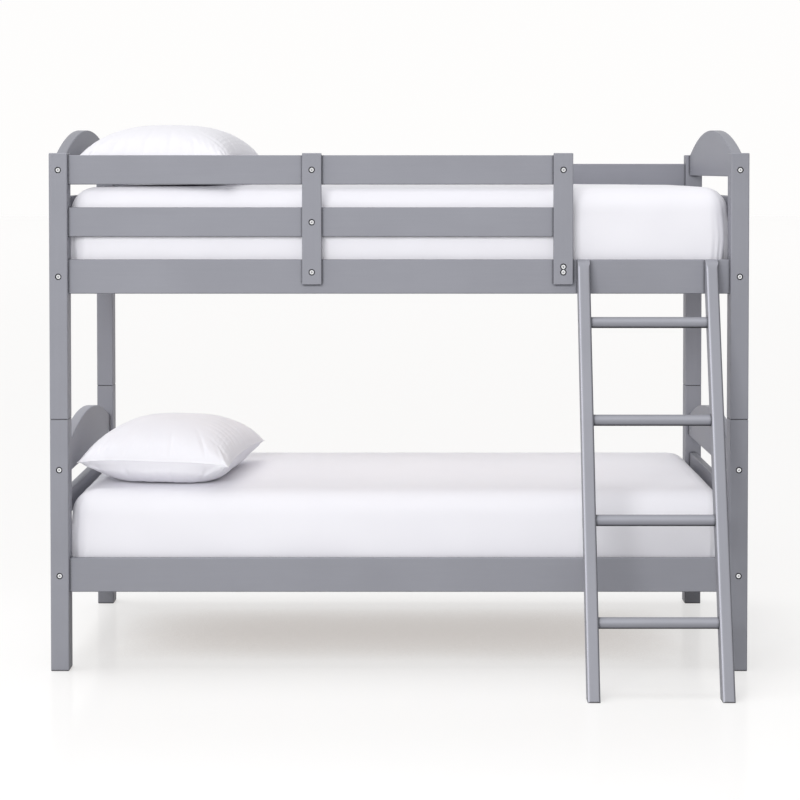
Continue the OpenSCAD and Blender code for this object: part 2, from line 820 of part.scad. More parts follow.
// Ladder rail with its rungs' sockets, screw bores and the slot that hides the hook
module ladder_rail(s) {
    over = 2 * ladder_rail_d;
    color(painted) difference() {
        intersection() {
            ladder_rail_place(s) rotate([90, 0, 90])
                linear_extrude(ladder_rail_w + 2 * eps, center = true) polygon(ladder_outline());
            ladder_rail_place(s) translate([0, ladder_mid(0), 0]) rotate([-lean, 0, 0])
                translate([0, 0, -over]) board(ladder_rail_w, ladder_rail_d,
                    ladder_top / cos(lean) + 2 * over, ladder_ease);
        }
        rung_ends([s]) {
            translate([0, 0, -eps]) cylinder(d = rung_d + 2 * fit_clear, h = rung_seat + eps);
            cylinder(d = rung_screw_d + 2 * fit_clear, h = ladder_rail_w + eps);
            translate([0, 0, ladder_rail_w - rung_bore_depth])
                cylinder(d = rung_bore_d, h = rung_bore_depth + eps);
        }
        hook_slot(s);
        hook_screw_axes([s]) screw_hole(hook_screw_l);
    }
}

module ladder_rungs() {
    l = ladder_span - ladder_rail_w + 2 * (rung_seat - fit_clear);
    color(painted) difference() {
        for (i = [0:rung_count - 1])
            translate([ladder_x, ladder_mid(rung_first + i * rung_pitch), rung_first + i * rung_pitch])
                rotate([0, 90, 0]) cylinder(d = rung_d, h = l, center = true);
        rung_ends() translate([0, 0, ladder_rail_w - rung_bore_depth - rung_screw_l - eps])
            cylinder(d = rung_screw_d + 2 * fit_clear, h = rung_screw_l);
    }
}

// Pan-head screws that pull the ladder rails onto the rungs
module rung_screws() {
    head_h = 3;
    seat = ladder_rail_w - rung_bore_depth;
    color(steel) rung_ends() difference() {
        rotate_extrude() polygon([
            [0, seat + head_h], [rung_screw_d * 0.6, seat + head_h], [rung_screw_d, seat + head_h - 1],
            [rung_screw_d, seat], [rung_screw_d / 2, seat],
            [rung_screw_d / 2, seat - rung_screw_l + rung_screw_d], [0, seat - rung_screw_l]
        ]);
        for (turn = [0, 90]) rotate([0, 0, turn]) translate([0, 0, seat + head_h])
            cube([rung_screw_d * 1.1, rung_screw_d * 0.25, head_h], center = true);
    }
}

// ---------- ladder hooks ----------

// Both hook plates are drawn from the side: first number forward from the side rail's
// face, second number up. The keeper's tongue points up, the hook's points down.
keeper_outline = [
    [0, 0], [hook_t, 0], [hook_t, hook_base], [hook_out, hook_base],
    [hook_out, hook_base + hook_t + hook_tongue], [hook_gap, hook_base + hook_t + hook_tongue],
    [hook_gap, hook_base + hook_t], [0, hook_base + hook_t]
];

hook_outer = hook_out + hook_play;
hook_outline = [
    [hook_outer, 0], [hook_outer, hook_t + hook_base], [hook_outer - hook_t, hook_t + hook_base],
    [hook_outer - hook_t, hook_t], [hook_play, hook_t],
    [hook_play, -hook_tongue + hook_t], [hook_t + hook_play, -hook_tongue + hook_t],
    [hook_t + hook_play, 0]
];

// A plate on both ladder rails' lines, with an outline set up from height z
module hook_plates(outline, z, sides = [LEFT, RIGHT]) {
    for (s = sides) ladder_rail_place(s) translate([0, rail_face, z]) rotate([90, 0, 90])
        linear_extrude(hook_w, center = true) mirror([1, 0]) polygon(outline);
}

hook_z = keeper_top + hook_play;

// Screw axes, two for each plate, along +Z into the wood
module keeper_screw_axes() {
    for (s = [LEFT, RIGHT], up = [hook_base / 4, hook_base * 3 / 4])
        ladder_rail_place(s) translate([0, rail_face - hook_t, keeper_z + up])
            rotate([-90, 0, 0]) children();
}

module hook_screw_axes(sides = [LEFT, RIGHT]) {
    for (s = sides, up = [hook_base / 4, hook_base * 3 / 4])
        ladder_rail_place(s)
            translate([0, rail_face - hook_outer + hook_t, hook_z + hook_t + up])
                rotate([90, 0, 0]) children();
}

module ladder_keepers() {
    color(steel) difference() {
        hook_plates(keeper_outline, keeper_z);
        keeper_screw_axes() screw_hole(hook_screw_l);
    }
}

module ladder_hooks() {
    color(steel) difference() {
        hook_plates(hook_outline, hook_z);
        hook_screw_axes() screw_hole(hook_screw_l);
    }
}

module ladder_hook_screws() {
    color(steel) hook_screw_axes() wood_screw(hook_screw_l);
}

module keeper_screws() {
    color(steel) keeper_screw_axes() wood_screw(hook_screw_l);
}

// Slot in the ladder rail's heel: closed above the hook and open below, so that the
// ladder lifts off the keeper
module hook_slot(s) {
    slack = 1;
    top = hook_z + hook_t + hook_base + slack;
    low = keeper_z - hook_base;
    ladder_rail_place(s)
        translate([-hook_w / 2 - slack, rail_face - hook_outer, low])
            cube([hook_w + 2 * slack, hook_outer + eps, top - low]);
}

// ---------- bedding ----------

// Closed solid through a stack of rings with the same number of points
module ring_stack(rings) {
    n = len(rings[0]);
    m = len(rings);
    points = [for (ring = rings) for (p = ring) p];
    sides = [for (j = [0:m - 2], i = [0:n - 1])
        let (a = j * n + i, b = j * n + (i + 1) % n)
        each [[a, a + n, b], [b, a + n, b + n]]];
    bottom = [for (i = [1:n - 2]) [0, i, i + 1]];
    top = [for (i = [1:n - 2]) [(m - 1) * n, (m - 1) * n + i + 1, (m - 1) * n + i]];
    polyhedron(points = points, faces = concat(sides, bottom, top));
}

// Plan of a mattress at height z, drawn in by d: straight sides and round corners
mattress_least_r = 5;

function mattress_ring(d, z, steps = 6) =
    let (r = max(mattress_corner_r - d, mattress_least_r))
    let (cx = mattress_l / 2 - d - r, cy = mattress_w / 2 - d - r)
    [for (q = [0:3], k = [0:steps])
        let (a = q * 90 + k * 90 / steps)
        let (sx = q == 0 || q == 3 ? 1 : -1, sy = q < 2 ? 1 : -1)
        [sx * cx + r * cos(a), sy * cy + r * sin(a), z]];

// Side of a mattress from the bottom to the middle of the top: how far each ring is
// drawn in, and its height
function mattress_side(h) = concat(
    [for (a = [0:30:90]) [mattress_bottom_r * (1 - sin(a)), mattress_bottom_r * (1 - cos(a))]],
    [for (t = [0.25:0.25:0.75]) [-mattress_swell * sin(180 * t),
        mattress_bottom_r + t * (h - mattress_crown - mattress_top_r - mattress_bottom_r)]],
    [for (a = [0:18:90]) [mattress_top_r * (1 - cos(a)),
        h - mattress_crown - mattress_top_r * (1 - sin(a))]],
    [for (t = [1, 2, 3]) [mattress_top_r + mattress_w * t / 8,
        h - mattress_crown + mattress_crown * sin(30 * t)]]);

module mattress(tier, h) {
    color(bedding)
        translate([0, mid_y, tier * tier_rise + slat_top + soft_clear])
            ring_stack([for (s = mattress_side(h)) mattress_ring(s[0], s[1])]);
}

// A pillow's surface runs over u and v from -1 to 1. Its plan draws in between the
// corners, its thickness falls to nothing at the seam, and it lies flat underneath.
pillow_waist_ratio = 0.047;
pillow_full = 2.85;
pillow_n = 20;
pillow_m = 24;

function pillow_plan(u, v) = [
    pillow_w / 2 * u * (1 - pillow_waist_ratio * (1 - v * v)),
    pillow_l / 2 * v * (1 - pillow_waist_ratio * (1 - u * u) * 0.7)
];

function pillow_point(u, v, upper) =
    let (full = max(0, (1 - pow(abs(u), pillow_full)) * (1 - pow(abs(v), pillow_full))))
    let (seam = (pillow_seam + pillow_lift * (1 - u) / 2) * (1 - 0.12 * pow(u * v, 4)))
    let (z = upper ? seam + (pillow_h - seam) * pow(full, 0.61)
                   : max(0, seam - pillow_seam * 1.5 * pow(full, 0.55)))
    concat(pillow_plan(u, v), z);

// Grid lines crowd towards the seam, where the surface turns fastest
function pillow_line(i, n) = sin(90 * (2 * i / n - 1));

// Two triangles of a grid cell, parted along a-c or along b-d
function cell(a, b, c, d, along) = along ? [[a, b, c], [a, c, d]] : [[a, b, d], [b, c, d]];

module pillow_solid() {
    n = pillow_n;
    m = pillow_m;
    top_points = [for (i = [0:n], j = [0:m])
        pillow_point(pillow_line(i, n), pillow_line(j, m), true)];
    low_points = [for (i = [1:n - 1], j = [1:m - 1])
        pillow_point(pillow_line(i, n), pillow_line(j, m), false)];
    function top_id(i, j) = i * (m + 1) + j;
    function low_id(i, j) = i == 0 || j == 0 || i == n || j == m ? top_id(i, j)
        : (n + 1) * (m + 1) + (i - 1) * (m - 1) + j - 1;
    // Each cell is parted towards the nearest corner of the pillow, so that no triangle
    // has all its points on the seam
    upper_faces = [for (i = [0:n - 1], j = [0:m - 1])
        each cell(top_id(i, j), top_id(i, j + 1), top_id(i + 1, j + 1), top_id(i + 1, j),
            (i < n / 2) == (j < m / 2))];
    lower_faces = [for (i = [0:n - 1], j = [0:m - 1])
        each cell(low_id(i, j), low_id(i + 1, j), low_id(i + 1, j + 1), low_id(i, j + 1),
            (i < n / 2) == (j < m / 2))];
    polyhedron(points = concat(top_points, low_points), faces = concat(upper_faces, lower_faces));
}

module pillow(tier, mattress_h) {
    color(bedding)
        translate([-bed_l / 2 + pillow_in, mid_y - pillow_forward,
            tier * tier_rise + slat_top + mattress_h + 2 * soft_clear])
            rotate([0, 0, -pillow_turn]) pillow_solid();
}

// ---------- nodes ----------

module painted_post(sx, sy, tier) {
    color(painted) post(sx, sy, tier);
}

painted_post(LEFT, FRONT, LOWER);  // lower_front_left_post
painted_post(RIGHT, FRONT, LOWER);  // lower_front_right_post
painted_post(LEFT, REAR, LOWER);  // lower_rear_left_post
painted_post(RIGHT, REAR, LOWER);  // lower_rear_right_post
arch_panel(LEFT, LOWER);  // lower_left_arch_panel
arch_panel(RIGHT, LOWER);  // lower_right_arch_panel
crosspiece(LEFT, LOWER);  // lower_left_crosspiece
crosspiece(RIGHT, LOWER);  // lower_right_crosspiece
end_rail(LEFT, LOWER);  // lower_left_end_rail
end_rail(RIGHT, LOWER);  // lower_right_end_rail
side_rail(FRONT, LOWER);  // lower_front_side_rail
side_rail(REAR, LOWER);  // lower_rear_side_rail
slat_ledgers(LOWER);  // lower_slat_ledgers
slats(LOWER);  // lower_slats
frame_bolts(LOWER);  // lower_bolts
barrel_nuts(LOWER);  // lower_barrel_nuts
dowels(LOWER);  // lower_dowels
wood_screws(LOWER);  // lower_wood_screws
stacking_pins();
painted_post(LEFT, FRONT, UPPER);  // upper_front_left_post
painted_post(RIGHT, FRONT, UPPER);  // upper_front_right_post
painted_post(LEFT, REAR, UPPER);  // upper_rear_left_post
painted_post(RIGHT, REAR, UPPER);  // upper_rear_right_post
arch_panel(LEFT, UPPER);  // upper_left_arch_panel
arch_panel(RIGHT, UPPER);  // upper_right_arch_panel
crosspiece(LEFT, UPPER);  // upper_left_crosspiece
crosspiece(RIGHT, UPPER);  // upper_right_crosspiece
end_rail(LEFT, UPPER);  // upper_left_end_rail
end_rail(RIGHT, UPPER);  // upper_right_end_rail
side_rail(FRONT, UPPER);  // upper_front_side_rail
side_rail(REAR, UPPER);  // upper_rear_side_rail
slat_ledgers(UPPER);  // upper_slat_ledgers
slats(UPPER);  // upper_slats
frame_bolts(UPPER);  // upper_bolts
barrel_nuts(UPPER);  // upper_barrel_nuts
dowels(UPPER);  // upper_dowels
wood_screws(UPPER);  // upper_wood_screws
guard_rail(FRONT, guard_top_z);  // front_top_guard_rail
guard_rail(FRONT, guard_mid_z);  // front_middle_guard_rail
guard_rail(REAR, guard_top_z);  // rear_top_guard_rail
guard_rail(REAR, guard_mid_z);  // rear_middle_guard_rail
guard_post(FRONT, guard_left_x);  // front_left_guard_post
guard_post(FRONT, guard_right_x);  // front_right_guard_post
guard_post(REAR, guard_left_x);  // rear_left_guard_post
guard_post(REAR, guard_right_x);  // rear_right_guard_post
guard_bolts();
guard_sleeve_nuts();
ladder_rail(LEFT);  // ladder_left_rail
ladder_rail(RIGHT);  // ladder_right_rail
ladder_rungs();
rung_screws();
ladder_hooks();
ladder_hook_screws();
ladder_keepers();
keeper_screws();
mattress(LOWER, lower_mattress_h);  // lower_mattress
mattress(UPPER, upper_mattress_h);  // upper_mattress
pillow(LOWER, lower_mattress_h);  // lower_pillow
pillow(UPPER, upper_mattress_h);  // upper_pillow
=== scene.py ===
"""Twin-over-twin bunk bed: paint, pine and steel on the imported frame, fitted sheets,
inflated pillows, a pale floor, soft studio light and the photograph's camera."""

import json
import logging
import math
from collections.abc import Mapping
from dataclasses import dataclass
from enum import Enum
from typing import Any

import bpy
import numpy as np
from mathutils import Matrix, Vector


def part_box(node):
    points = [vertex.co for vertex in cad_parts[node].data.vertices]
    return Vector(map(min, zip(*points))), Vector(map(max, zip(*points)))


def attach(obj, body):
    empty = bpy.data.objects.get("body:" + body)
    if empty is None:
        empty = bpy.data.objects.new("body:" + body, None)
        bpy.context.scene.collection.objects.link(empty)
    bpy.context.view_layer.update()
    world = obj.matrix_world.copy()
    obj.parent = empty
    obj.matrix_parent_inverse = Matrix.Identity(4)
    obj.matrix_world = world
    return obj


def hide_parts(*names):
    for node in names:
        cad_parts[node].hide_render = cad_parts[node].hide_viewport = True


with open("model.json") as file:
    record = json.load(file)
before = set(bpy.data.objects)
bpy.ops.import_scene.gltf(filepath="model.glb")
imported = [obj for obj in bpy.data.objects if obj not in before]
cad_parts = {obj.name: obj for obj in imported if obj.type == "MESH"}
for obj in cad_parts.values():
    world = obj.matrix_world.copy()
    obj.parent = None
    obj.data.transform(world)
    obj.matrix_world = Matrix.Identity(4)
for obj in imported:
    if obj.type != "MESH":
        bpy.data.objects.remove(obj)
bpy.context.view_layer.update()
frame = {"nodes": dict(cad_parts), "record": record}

LOG = logging.getLogger("bunk_bed")

Colour = tuple[float, float, float]
Point = tuple[float, float, float]
Pair = tuple[float, float]
Array = np.ndarray
Socket = bpy.types.NodeSocket
Material = bpy.types.Material
Piece = bpy.types.Object

MILLIMETRE = 0.001
NOTHING = 1e-9
ON_SEAM = 0.9999
BAND_SCALE = math.pi / 10.0  # one band of a wave texture for each unit
LADDER_LEAN = math.radians(17.26)


class Grain(Enum):
    """Direction in which the grain of a board runs; ROUND is along the bed, on rungs."""

    ALONG_BED = "along_bed"
    ACROSS_BED = "across_bed"
    UPRIGHT = "upright"
    LEANING = "leaning"
    ROUND = "round"


# Materials


def scaled(colour: Colour, share: float) -> Colour:
    """A colour with every channel multiplied by a share."""
    return tuple(value * share for value in colour)


def rgba(colour: Any) -> Any:
    """A colour with its alpha; an output socket stays as it is."""
    return (*colour, 1.0) if isinstance(colour, tuple) else colour


class ShaderGraph:
    """Node tree of one material or world, built by short calls."""

    EDGE_LOBE = 14.0

    def __init__(self, name: str, kind: str = "materials") -> None:
        """Starts an empty tree.

        Args:
            name: Name of the material or world.
            kind: Blender's list that it goes into, materials or worlds.
        """
        self.holder = getattr(bpy.data, kind).new(name)
        self.holder.use_nodes = True
        self.tree = self.holder.node_tree
        self.tree.nodes.clear()

    def node(self, kind: str, inputs: Mapping[str | int, Any] | None = None,
             **settings: Any) -> bpy.types.Node:
        """Adds a node.

        Args:
            kind: Blender's type name without the ShaderNode prefix.
            inputs: Socket name or number, and the constant or output that feeds it.
            settings: Attributes of the node itself.

        Returns:
            The new node.
        """
        made = self.tree.nodes.new("ShaderNode" + kind)
        for key, value in settings.items():
            setattr(made, key, value)
        for key, value in (inputs or {}).items():
            socket = made.inputs[key]
            if isinstance(value, Socket):
                self.tree.links.new(value, socket)
            else:
                socket.default_value = value
        return made

    def math(self, operation: str, first: Any, second: Any) -> Socket:
        """Output of a Math node over two constants or outputs."""
        return self.node("Math", {0: first, 1: second}, operation=operation).outputs[0]

    def seen(self) -> Socket:
        """1 on camera, glossy and transmitted rays, and 0 on all others."""
        path = self.node("LightPath").outputs
        near = self.math("MAXIMUM", path["Is Camera Ray"], path["Is Glossy Ray"])
        return self.math("MAXIMUM", near, path["Is Transmission Ray"])

    def place(self, scale: Point = (1.0, 1.0, 1.0),
              rotation: Point = (0.0, 0.0, 0.0)) -> Socket:
        """Object coordinates, turned back by rotation and then multiplied by scale."""
        return self.node("Mapping", {
            "Vector": self.node("TexCoord").outputs["Object"], "Rotation": rotation,
            "Scale": tuple(1.0 / value for value in scale),
        }, vector_type="TEXTURE").outputs["Vector"]

    def noise(self, vector: Socket, scale: float, detail: float = 3.0,
              roughness: float = 0.5) -> Socket:
        """Noise from 0 to 1, with scale features for each unit of the vector."""
        return self.node("TexNoise", {
            "Vector": vector, "Scale": scale, "Detail": detail, "Roughness": roughness,
        }).outputs[0]

    def between(self, factor: Socket, low: float = 0.0, high: float = 1.0,
                start: float = 0.3, end: float = 0.7) -> Socket:
        """Maps a factor from start..end to low..high and returns the output."""
        return self.node("MapRange", {
            "Value": factor, "From Min": start, "From Max": end, "To Min": low, "To Max": high,
        }).outputs["Result"]

    def blend(self, factor: Socket, first: Colour | Socket, second: Colour | Socket) -> Socket:
        """Mixes two colours by a factor and returns the output."""
        return self.node("Mix", {"Factor": factor, 6: rgba(first), 7: rgba(second)},
                         data_type="RGBA").outputs[2]

    def openness(self, reach: float, closed: float, opened: float, samples: int = 6) -> Socket:
        """Free share of the surroundings within reach, closed to opened mapped to 0 to 1."""
        free = self.node("AmbientOcclusion", {"Distance": reach}, samples=samples)
        return self.between(free.outputs["AO"], start=closed, end=opened)

    def painted_edge_light(self, radius: float, towards: Point, strength: float) -> Socket:
        """Painted highlight, or painted shade for a negative strength, along the rounded edges
        that turn towards a direction.

        The change is strength (n . d)^lobe, with n the normal rounded over the edges and d
        the direction, so it stays near 0 on flat faces.

        Args:
            radius: Radius of the rounding in metres.
            towards: Direction half way between the two faces of the edge, of length 1.
            strength: Change where the normal meets the direction.

        Returns:
            The change's output.
        """
        rounded = self.node("Bevel", {"Radius": radius}, samples=4).outputs[0]
        meets = self.node("VectorMath", {0: rounded, 1: towards}, operation="DOT_PRODUCT")
        front = self.math("MAXIMUM", meets.outputs["Value"], 0.0)
        return self.math("MULTIPLY", self.math("POWER", front, self.EDGE_LOBE), strength)

    def bump(self, height: Socket, depth: float, strength: float = 1.0,
             normal: Socket | None = None) -> Socket:
        """Turns a height from 0 to 1, of depth metres, into a normal on top of another."""
        below = {} if normal is None else {"Normal": normal}
        return self.node("Bump", {"Height": height, "Distance": depth, "Strength": strength,
                                  **below}).outputs["Normal"]

    def finish(self, inputs: Mapping[str | int, Any]) -> Material:
        """Ends the tree in a Principled shader and returns the material."""
        return self.end("OutputMaterial", self.node("BsdfPrincipled", inputs))

    def end(self, kind: str, shader: bpy.types.Node) -> Any:
        """Ends the tree in a shader and returns the material or world."""
        self.node(kind, {"Surface": shader.outputs[0]})
        return self.holder


@dataclass(frozen=True)
class PaintedWood:
    """Satin enamel on solid wood: the grain stays just readable under the paint. A small
    metallic share gives the satin its lights without a bright sheen at grazing angles.
    Painted shade darkens tight seams and inside corners. Edges that turn towards lit get a
    painted highlight, and those that turn towards dim get painted shade."""

    grain: Grain
    edge_radius: float = 0.0026
    # Painted highlight on the edges that turn towards lit, painted shade on those that turn
    # towards dim
    lit: Point = (-0.71, -0.71, 0.0)
    lit_strength: float = 0.06
    dim: Point = (0.0, -0.71, -0.71)
    dim_strength: float = -0.5
    colour: Colour = (0.325, 0.329, 0.368)
    tone_spread: float = 0.035
    cloud_scale: float = 4.0
    streak_share: float = 0.12
    streak_shade: float = 0.8
    streaks_across: float = 110.0
    streaks_along: float = 5.0
    grain_depth: float = 0.00035
    peel_scale: float = 520.0
    peel_depth: float = 0.00006
    # Painted shade in tight seams, joints and inside corners, found by ambient occlusion
    seam_reach: float = 0.010
    seam_open: Pair = (0.38, 0.85)
    seam_shade: float = 0.12
    sheen: float = 0.10
    roughness: Pair = (0.40, 0.50)

    def axes(self) -> tuple[Point, Point]:
        """Scale and turn that stretch a pattern along the grain."""
        axis = {Grain.ALONG_BED: 0, Grain.ROUND: 0, Grain.ACROSS_BED: 1}.get(self.grain, 2)
        scale = [self.streaks_across] * 3
        scale[axis] = self.streaks_along
        lean = -LADDER_LEAN if self.grain is Grain.LEANING else 0.0
        return tuple(scale), (lean, 0.0, 0.0)

    def material(self) -> Material:
        """Builds the finish."""
        graph = ShaderGraph(f"grey_paint_{self.grain.value}")
        scale, turn = self.axes()
        whole = graph.place()
        fibres = graph.noise(graph.place(scale, turn), 1.0, detail=6.0, roughness=0.62)
        clouds = graph.noise(whole, self.cloud_scale)
        peel = graph.noise(whole, self.peel_scale, detail=2.0)
        tone = graph.blend(graph.between(clouds),
                           scaled(self.colour, 1 - self.tone_spread),
                           scaled(self.colour, 1 + self.tone_spread))
        streak = graph.between(fibres, 0.0, self.streak_share, start=0.35, end=0.75)
        grained = graph.blend(streak, tone, scaled(self.colour, self.streak_shade))
        # Painted highlight and painted shade on the rounded edges, multiplied into the colour
        bright = graph.painted_edge_light(self.edge_radius, self.lit, self.lit_strength)
        painted_edge_shade = graph.painted_edge_light(self.edge_radius, self.dim, self.dim_strength)
        painted_light_gain = graph.math("ADD", graph.math("ADD", bright, painted_edge_shade), 1.0)
        painted_edge_colour = graph.node("VectorMath", {0: grained, "Scale": painted_light_gain},
                           operation="SCALE").outputs[0]
        # Painted shade: the colour falls to seam_shade where ambient occlusion finds seams,
        # joints and inside corners
        seams = graph.openness(self.seam_reach, *self.seam_open)
        colour = graph.blend(seams, scaled(self.colour, self.seam_shade), painted_edge_colour)
        under = graph.bump(fibres, self.grain_depth, strength=0.35)
        normal = graph.bump(peel, self.peel_depth, strength=0.5, normal=under)
        return graph.finish({
            "Base Color": colour,
            "Roughness": graph.between(clouds, *self.roughness),
            "Metallic": self.sheen,
            "Specular IOR Level": 0.03,
            "Normal": normal,
        })


@dataclass(frozen=True)
class RawPine:
    """Planed, unpainted pine with growth rings and a few knots."""

    early: Colour = (0.70, 0.52, 0.33)
    late: Colour = (0.52, 0.33, 0.17)
    knot: Colour = (0.20, 0.10, 0.05)
    rings: Point = (95.0, 1.6, 95.0)
    fibres: Point = (600.0, 12.0, 600.0)
    knots: Point = (7.0, 2.1, 7.0)

    def material(self) -> Material:
        """Builds the finish."""
        graph = ShaderGraph("raw_pine")
        rings = graph.noise(graph.place(self.rings), 1.0, detail=2.5, roughness=0.45)
        fibres = graph.noise(graph.place(self.fibres), 1.0, roughness=0.6)
        knots = graph.node("TexVoronoi", {
            "Vector": graph.place(self.knots), "Scale": 1.0,
        }).outputs["Distance"]
        bands = graph.between(rings, start=0.42, end=0.62)
        tone = graph.blend(bands, self.early, self.late)
        speckled = graph.blend(graph.between(fibres, 0.0, 0.25), tone, self.late)
        colour = graph.blend(graph.between(knots, 0.75, 0.0, start=0.03, end=0.10), speckled,
                             self.knot)
        return graph.finish({
            "Base Color": colour,
            "Roughness": graph.between(rings, 0.55, 0.72),
            "Specular IOR Level": 0.35,
            "Normal": graph.bump(fibres, 0.0003, strength=0.4),
        })


@dataclass(frozen=True)
class ZincSteel:
    """Bright zinc on steel, with fine tumbling marks and painted shadow in its recesses."""

    colour: Colour = (0.93, 0.94, 0.95)
    dull: Colour = (0.82, 0.83, 0.85)
    shadow: Colour = (0.015, 0.015, 0.018)
    spot_scale: float = 900.0
    recess_reach: float = 0.004

    def material(self) -> Material:
        """Builds the finish."""
        graph = ShaderGraph("zinc_steel")
        spots = graph.noise(graph.place(), self.spot_scale, roughness=0.6)
        zinc = graph.blend(graph.between(spots), self.colour, self.dull)
        # Painted shadow: the socket and the ring round the head turn near black where ambient
        # occlusion finds them closed in
        recess = graph.openness(self.recess_reach, closed=0.40, opened=0.66)
        return graph.finish({
            "Base Color": graph.blend(recess, self.shadow, zinc),
            "Metallic": 1.0,
            "Roughness": graph.between(spots, 0.26, 0.4),
            "Normal": graph.bump(spots, 0.00004, strength=0.5),
        })


@dataclass(frozen=True)
class WovenCotton:
    """Plain white weave, read in metres from the piece's own UV map."""

    name: str
    colour: Colour = (0.910, 0.902, 0.948)
    shade: Colour = (0.890, 0.882, 0.930)
    threads_per_metre: float = 1150.0
    thread_depth: float = 0.00012
    crease_scale: float = 14.0
    crease_depth: float = 0.0012
    cloud_scale: float = 3.0

    def material(self) -> Material:
        """Builds the finish: two crossed thread waves over soft creases."""
        graph = ShaderGraph(self.name)
        plane = graph.node("UVMap", uv_map="cloth").outputs["UV"]
        heights = []
        for direction in ("X", "Y"):
            wave = graph.node("TexWave", {
                "Vector": plane, "Scale": self.threads_per_metre * BAND_SCALE,
                "Distortion": 0.6, "Detail": 1.0, "Detail Scale": 0.3,
            }, wave_type="BANDS", bands_direction=direction)
            heights.append(wave.outputs[1])
        weave = graph.math("MULTIPLY", *heights)
        whole = graph.place()
        creases = graph.noise(whole, self.crease_scale, detail=4.0, roughness=0.45)
        clouds = graph.noise(whole, self.cloud_scale, detail=2.0)
        soft = graph.bump(creases, self.crease_depth, strength=0.35)
        return graph.finish({
            "Base Color": graph.blend(graph.between(clouds), self.colour, self.shade),
            "Roughness": 0.82,
            "Specular IOR Level": 0.25,
            "Sheen Weight": 0.12,
            "Sheen Roughness": 0.5,
            "Normal": graph.bump(weave, self.thread_depth, strength=0.35, normal=soft),
        })


@dataclass(frozen=True)
class QuiltedTicking:
    """Knitted mattress cover, seen only between the slats, with diamond quilting."""

    colour: Colour = (0.74, 0.74, 0.77)
    diamonds_per_metre: float = 12.0
    quilt_depth: float = 0.004
    knit_scale: float = 900.0
    knit_depth: float = 0.0002

    def material(self) -> Material:
        """Builds the finish: two crossed diagonal waves make the quilting."""
        graph = ShaderGraph("quilted_ticking")
        heights = []
        for turn in (math.radians(45.0), math.radians(-45.0)):
            vector = graph.place((self.diamonds_per_metre,) * 3, (0.0, 0.0, turn))
            wave = graph.node("TexWave", {"Vector": vector, "Scale": BAND_SCALE},
                              wave_type="BANDS", bands_direction="X")
            heights.append(wave.outputs[1])
        quilt = graph.math("MINIMUM", *heights)
        knit = graph.noise(graph.place(), self.knit_scale, detail=1.0)
        loops = graph.bump(knit, self.knit_depth, strength=0.4)
        return graph.finish({
            "Base Color": graph.blend(graph.between(knit), self.colour,
                                      scaled(self.colour, 0.93)),
            "Roughness": 0.85,
            "Specular IOR Level": 0.2,
            "Normal": graph.bump(quilt, self.quilt_depth, strength=0.6, normal=loops),
        })


@dataclass(frozen=True)
class PaleFloor:
    """White floor that keeps a light shadow, made deeper under wide low pieces by painted
    shade. Camera, glossy and transmitted rays see it partly as a plain white that glows and
    partly as a lit surface, both darkened by that painted shade; all other rays meet a
    darker floor, which throws less light back."""

    white: Colour = (0.97525, 0.97525, 0.97525)
    glow: Colour = (1.0, 0.990, 0.981)
    shaded: Colour = (0.745, 0.712, 0.690)
    shade_reach: float = 0.8
    shade_open: Pair = (0.12, 0.30)
    shade_samples: int = 16
    lighting: Colour = (0.48, 0.48, 0.48)
    lift: float = 0.60
    gloss: float = 0.05
    roughness: float = 0.14

    def material(self) -> Material:
        """Builds the finish."""
        graph = ShaderGraph("pale_floor")
        direct = graph.seen()
        # Painted shade: ambient occlusion under wide low pieces darkens the lit colour and the
        # glow, in a warm tone
        under = graph.openness(self.shade_reach, *self.shade_open, self.shade_samples)
        kept, shown = (
            graph.blend(under, tuple(a * b for a, b in zip(tone, self.shaded)), tone)
            for tone in (self.white, self.glow))
        surface = graph.node("BsdfPrincipled", {
            "Base Color": graph.blend(direct, self.lighting, kept),
            "Roughness": self.roughness, "Specular IOR Level": self.gloss,
        })
        glow = graph.node("Emission", {"Color": shown})
        mixed = graph.node("MixShader", {
            0: graph.math("MULTIPLY", direct, self.lift),
            1: surface.outputs[0], 2: glow.outputs[0],
        })
        return graph.end("OutputMaterial", mixed)


# Mesh tools


def grid_faces(ids: Array) -> Array:
    """Quads, as four point numbers each, between neighbours in a grid of numbers."""
    corners = ids[:-1, :-1], ids[1:, :-1], ids[1:, 1:], ids[:-1, 1:]
    return np.stack(corners, axis=-1).reshape(-1, 4)


def box_of(node: str) -> tuple[Array, Array]:
    """Lowest and highest corner of a CAD piece."""
    low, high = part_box(node)
    return np.array(low), np.array(high)


def stand(name: str, data: Any) -> Piece:
    """Puts a mesh, lamp or camera into the scene as an object."""
    made = bpy.data.objects.new(name, data)
    bpy.context.scene.collection.objects.link(made)
    return made


def make_piece(name: str, points: Array, faces: Array, finish: Material,
               cloth: Array | None = None) -> Piece:
    """Makes a smooth mesh object at the origin.

    Args:
        name: The piece's name.
        points: Places in metres, in the shared frame.
        faces: Point numbers of the quads.
        finish: The piece's material.
        cloth: Flat place of each point in metres, for the weave.

    Returns:
        The new object.
    """
    mesh = bpy.data.meshes.new(name)
    mesh.from_pydata(points.tolist(), [], faces.tolist())
    if cloth is not None:
        layer = mesh.uv_layers.new(name="cloth")
        corners = np.empty(len(mesh.loops), dtype=np.int32)
        mesh.loops.foreach_get("vertex_index", corners)
        layer.data.foreach_set("uv", cloth[corners].astype(np.float32).ravel())
    mesh.polygons.foreach_set("use_smooth", np.ones(len(mesh.polygons), dtype=bool))
    mesh.validate()
    mesh.update()
    mesh.materials.append(finish)
    return stand(name, mesh)


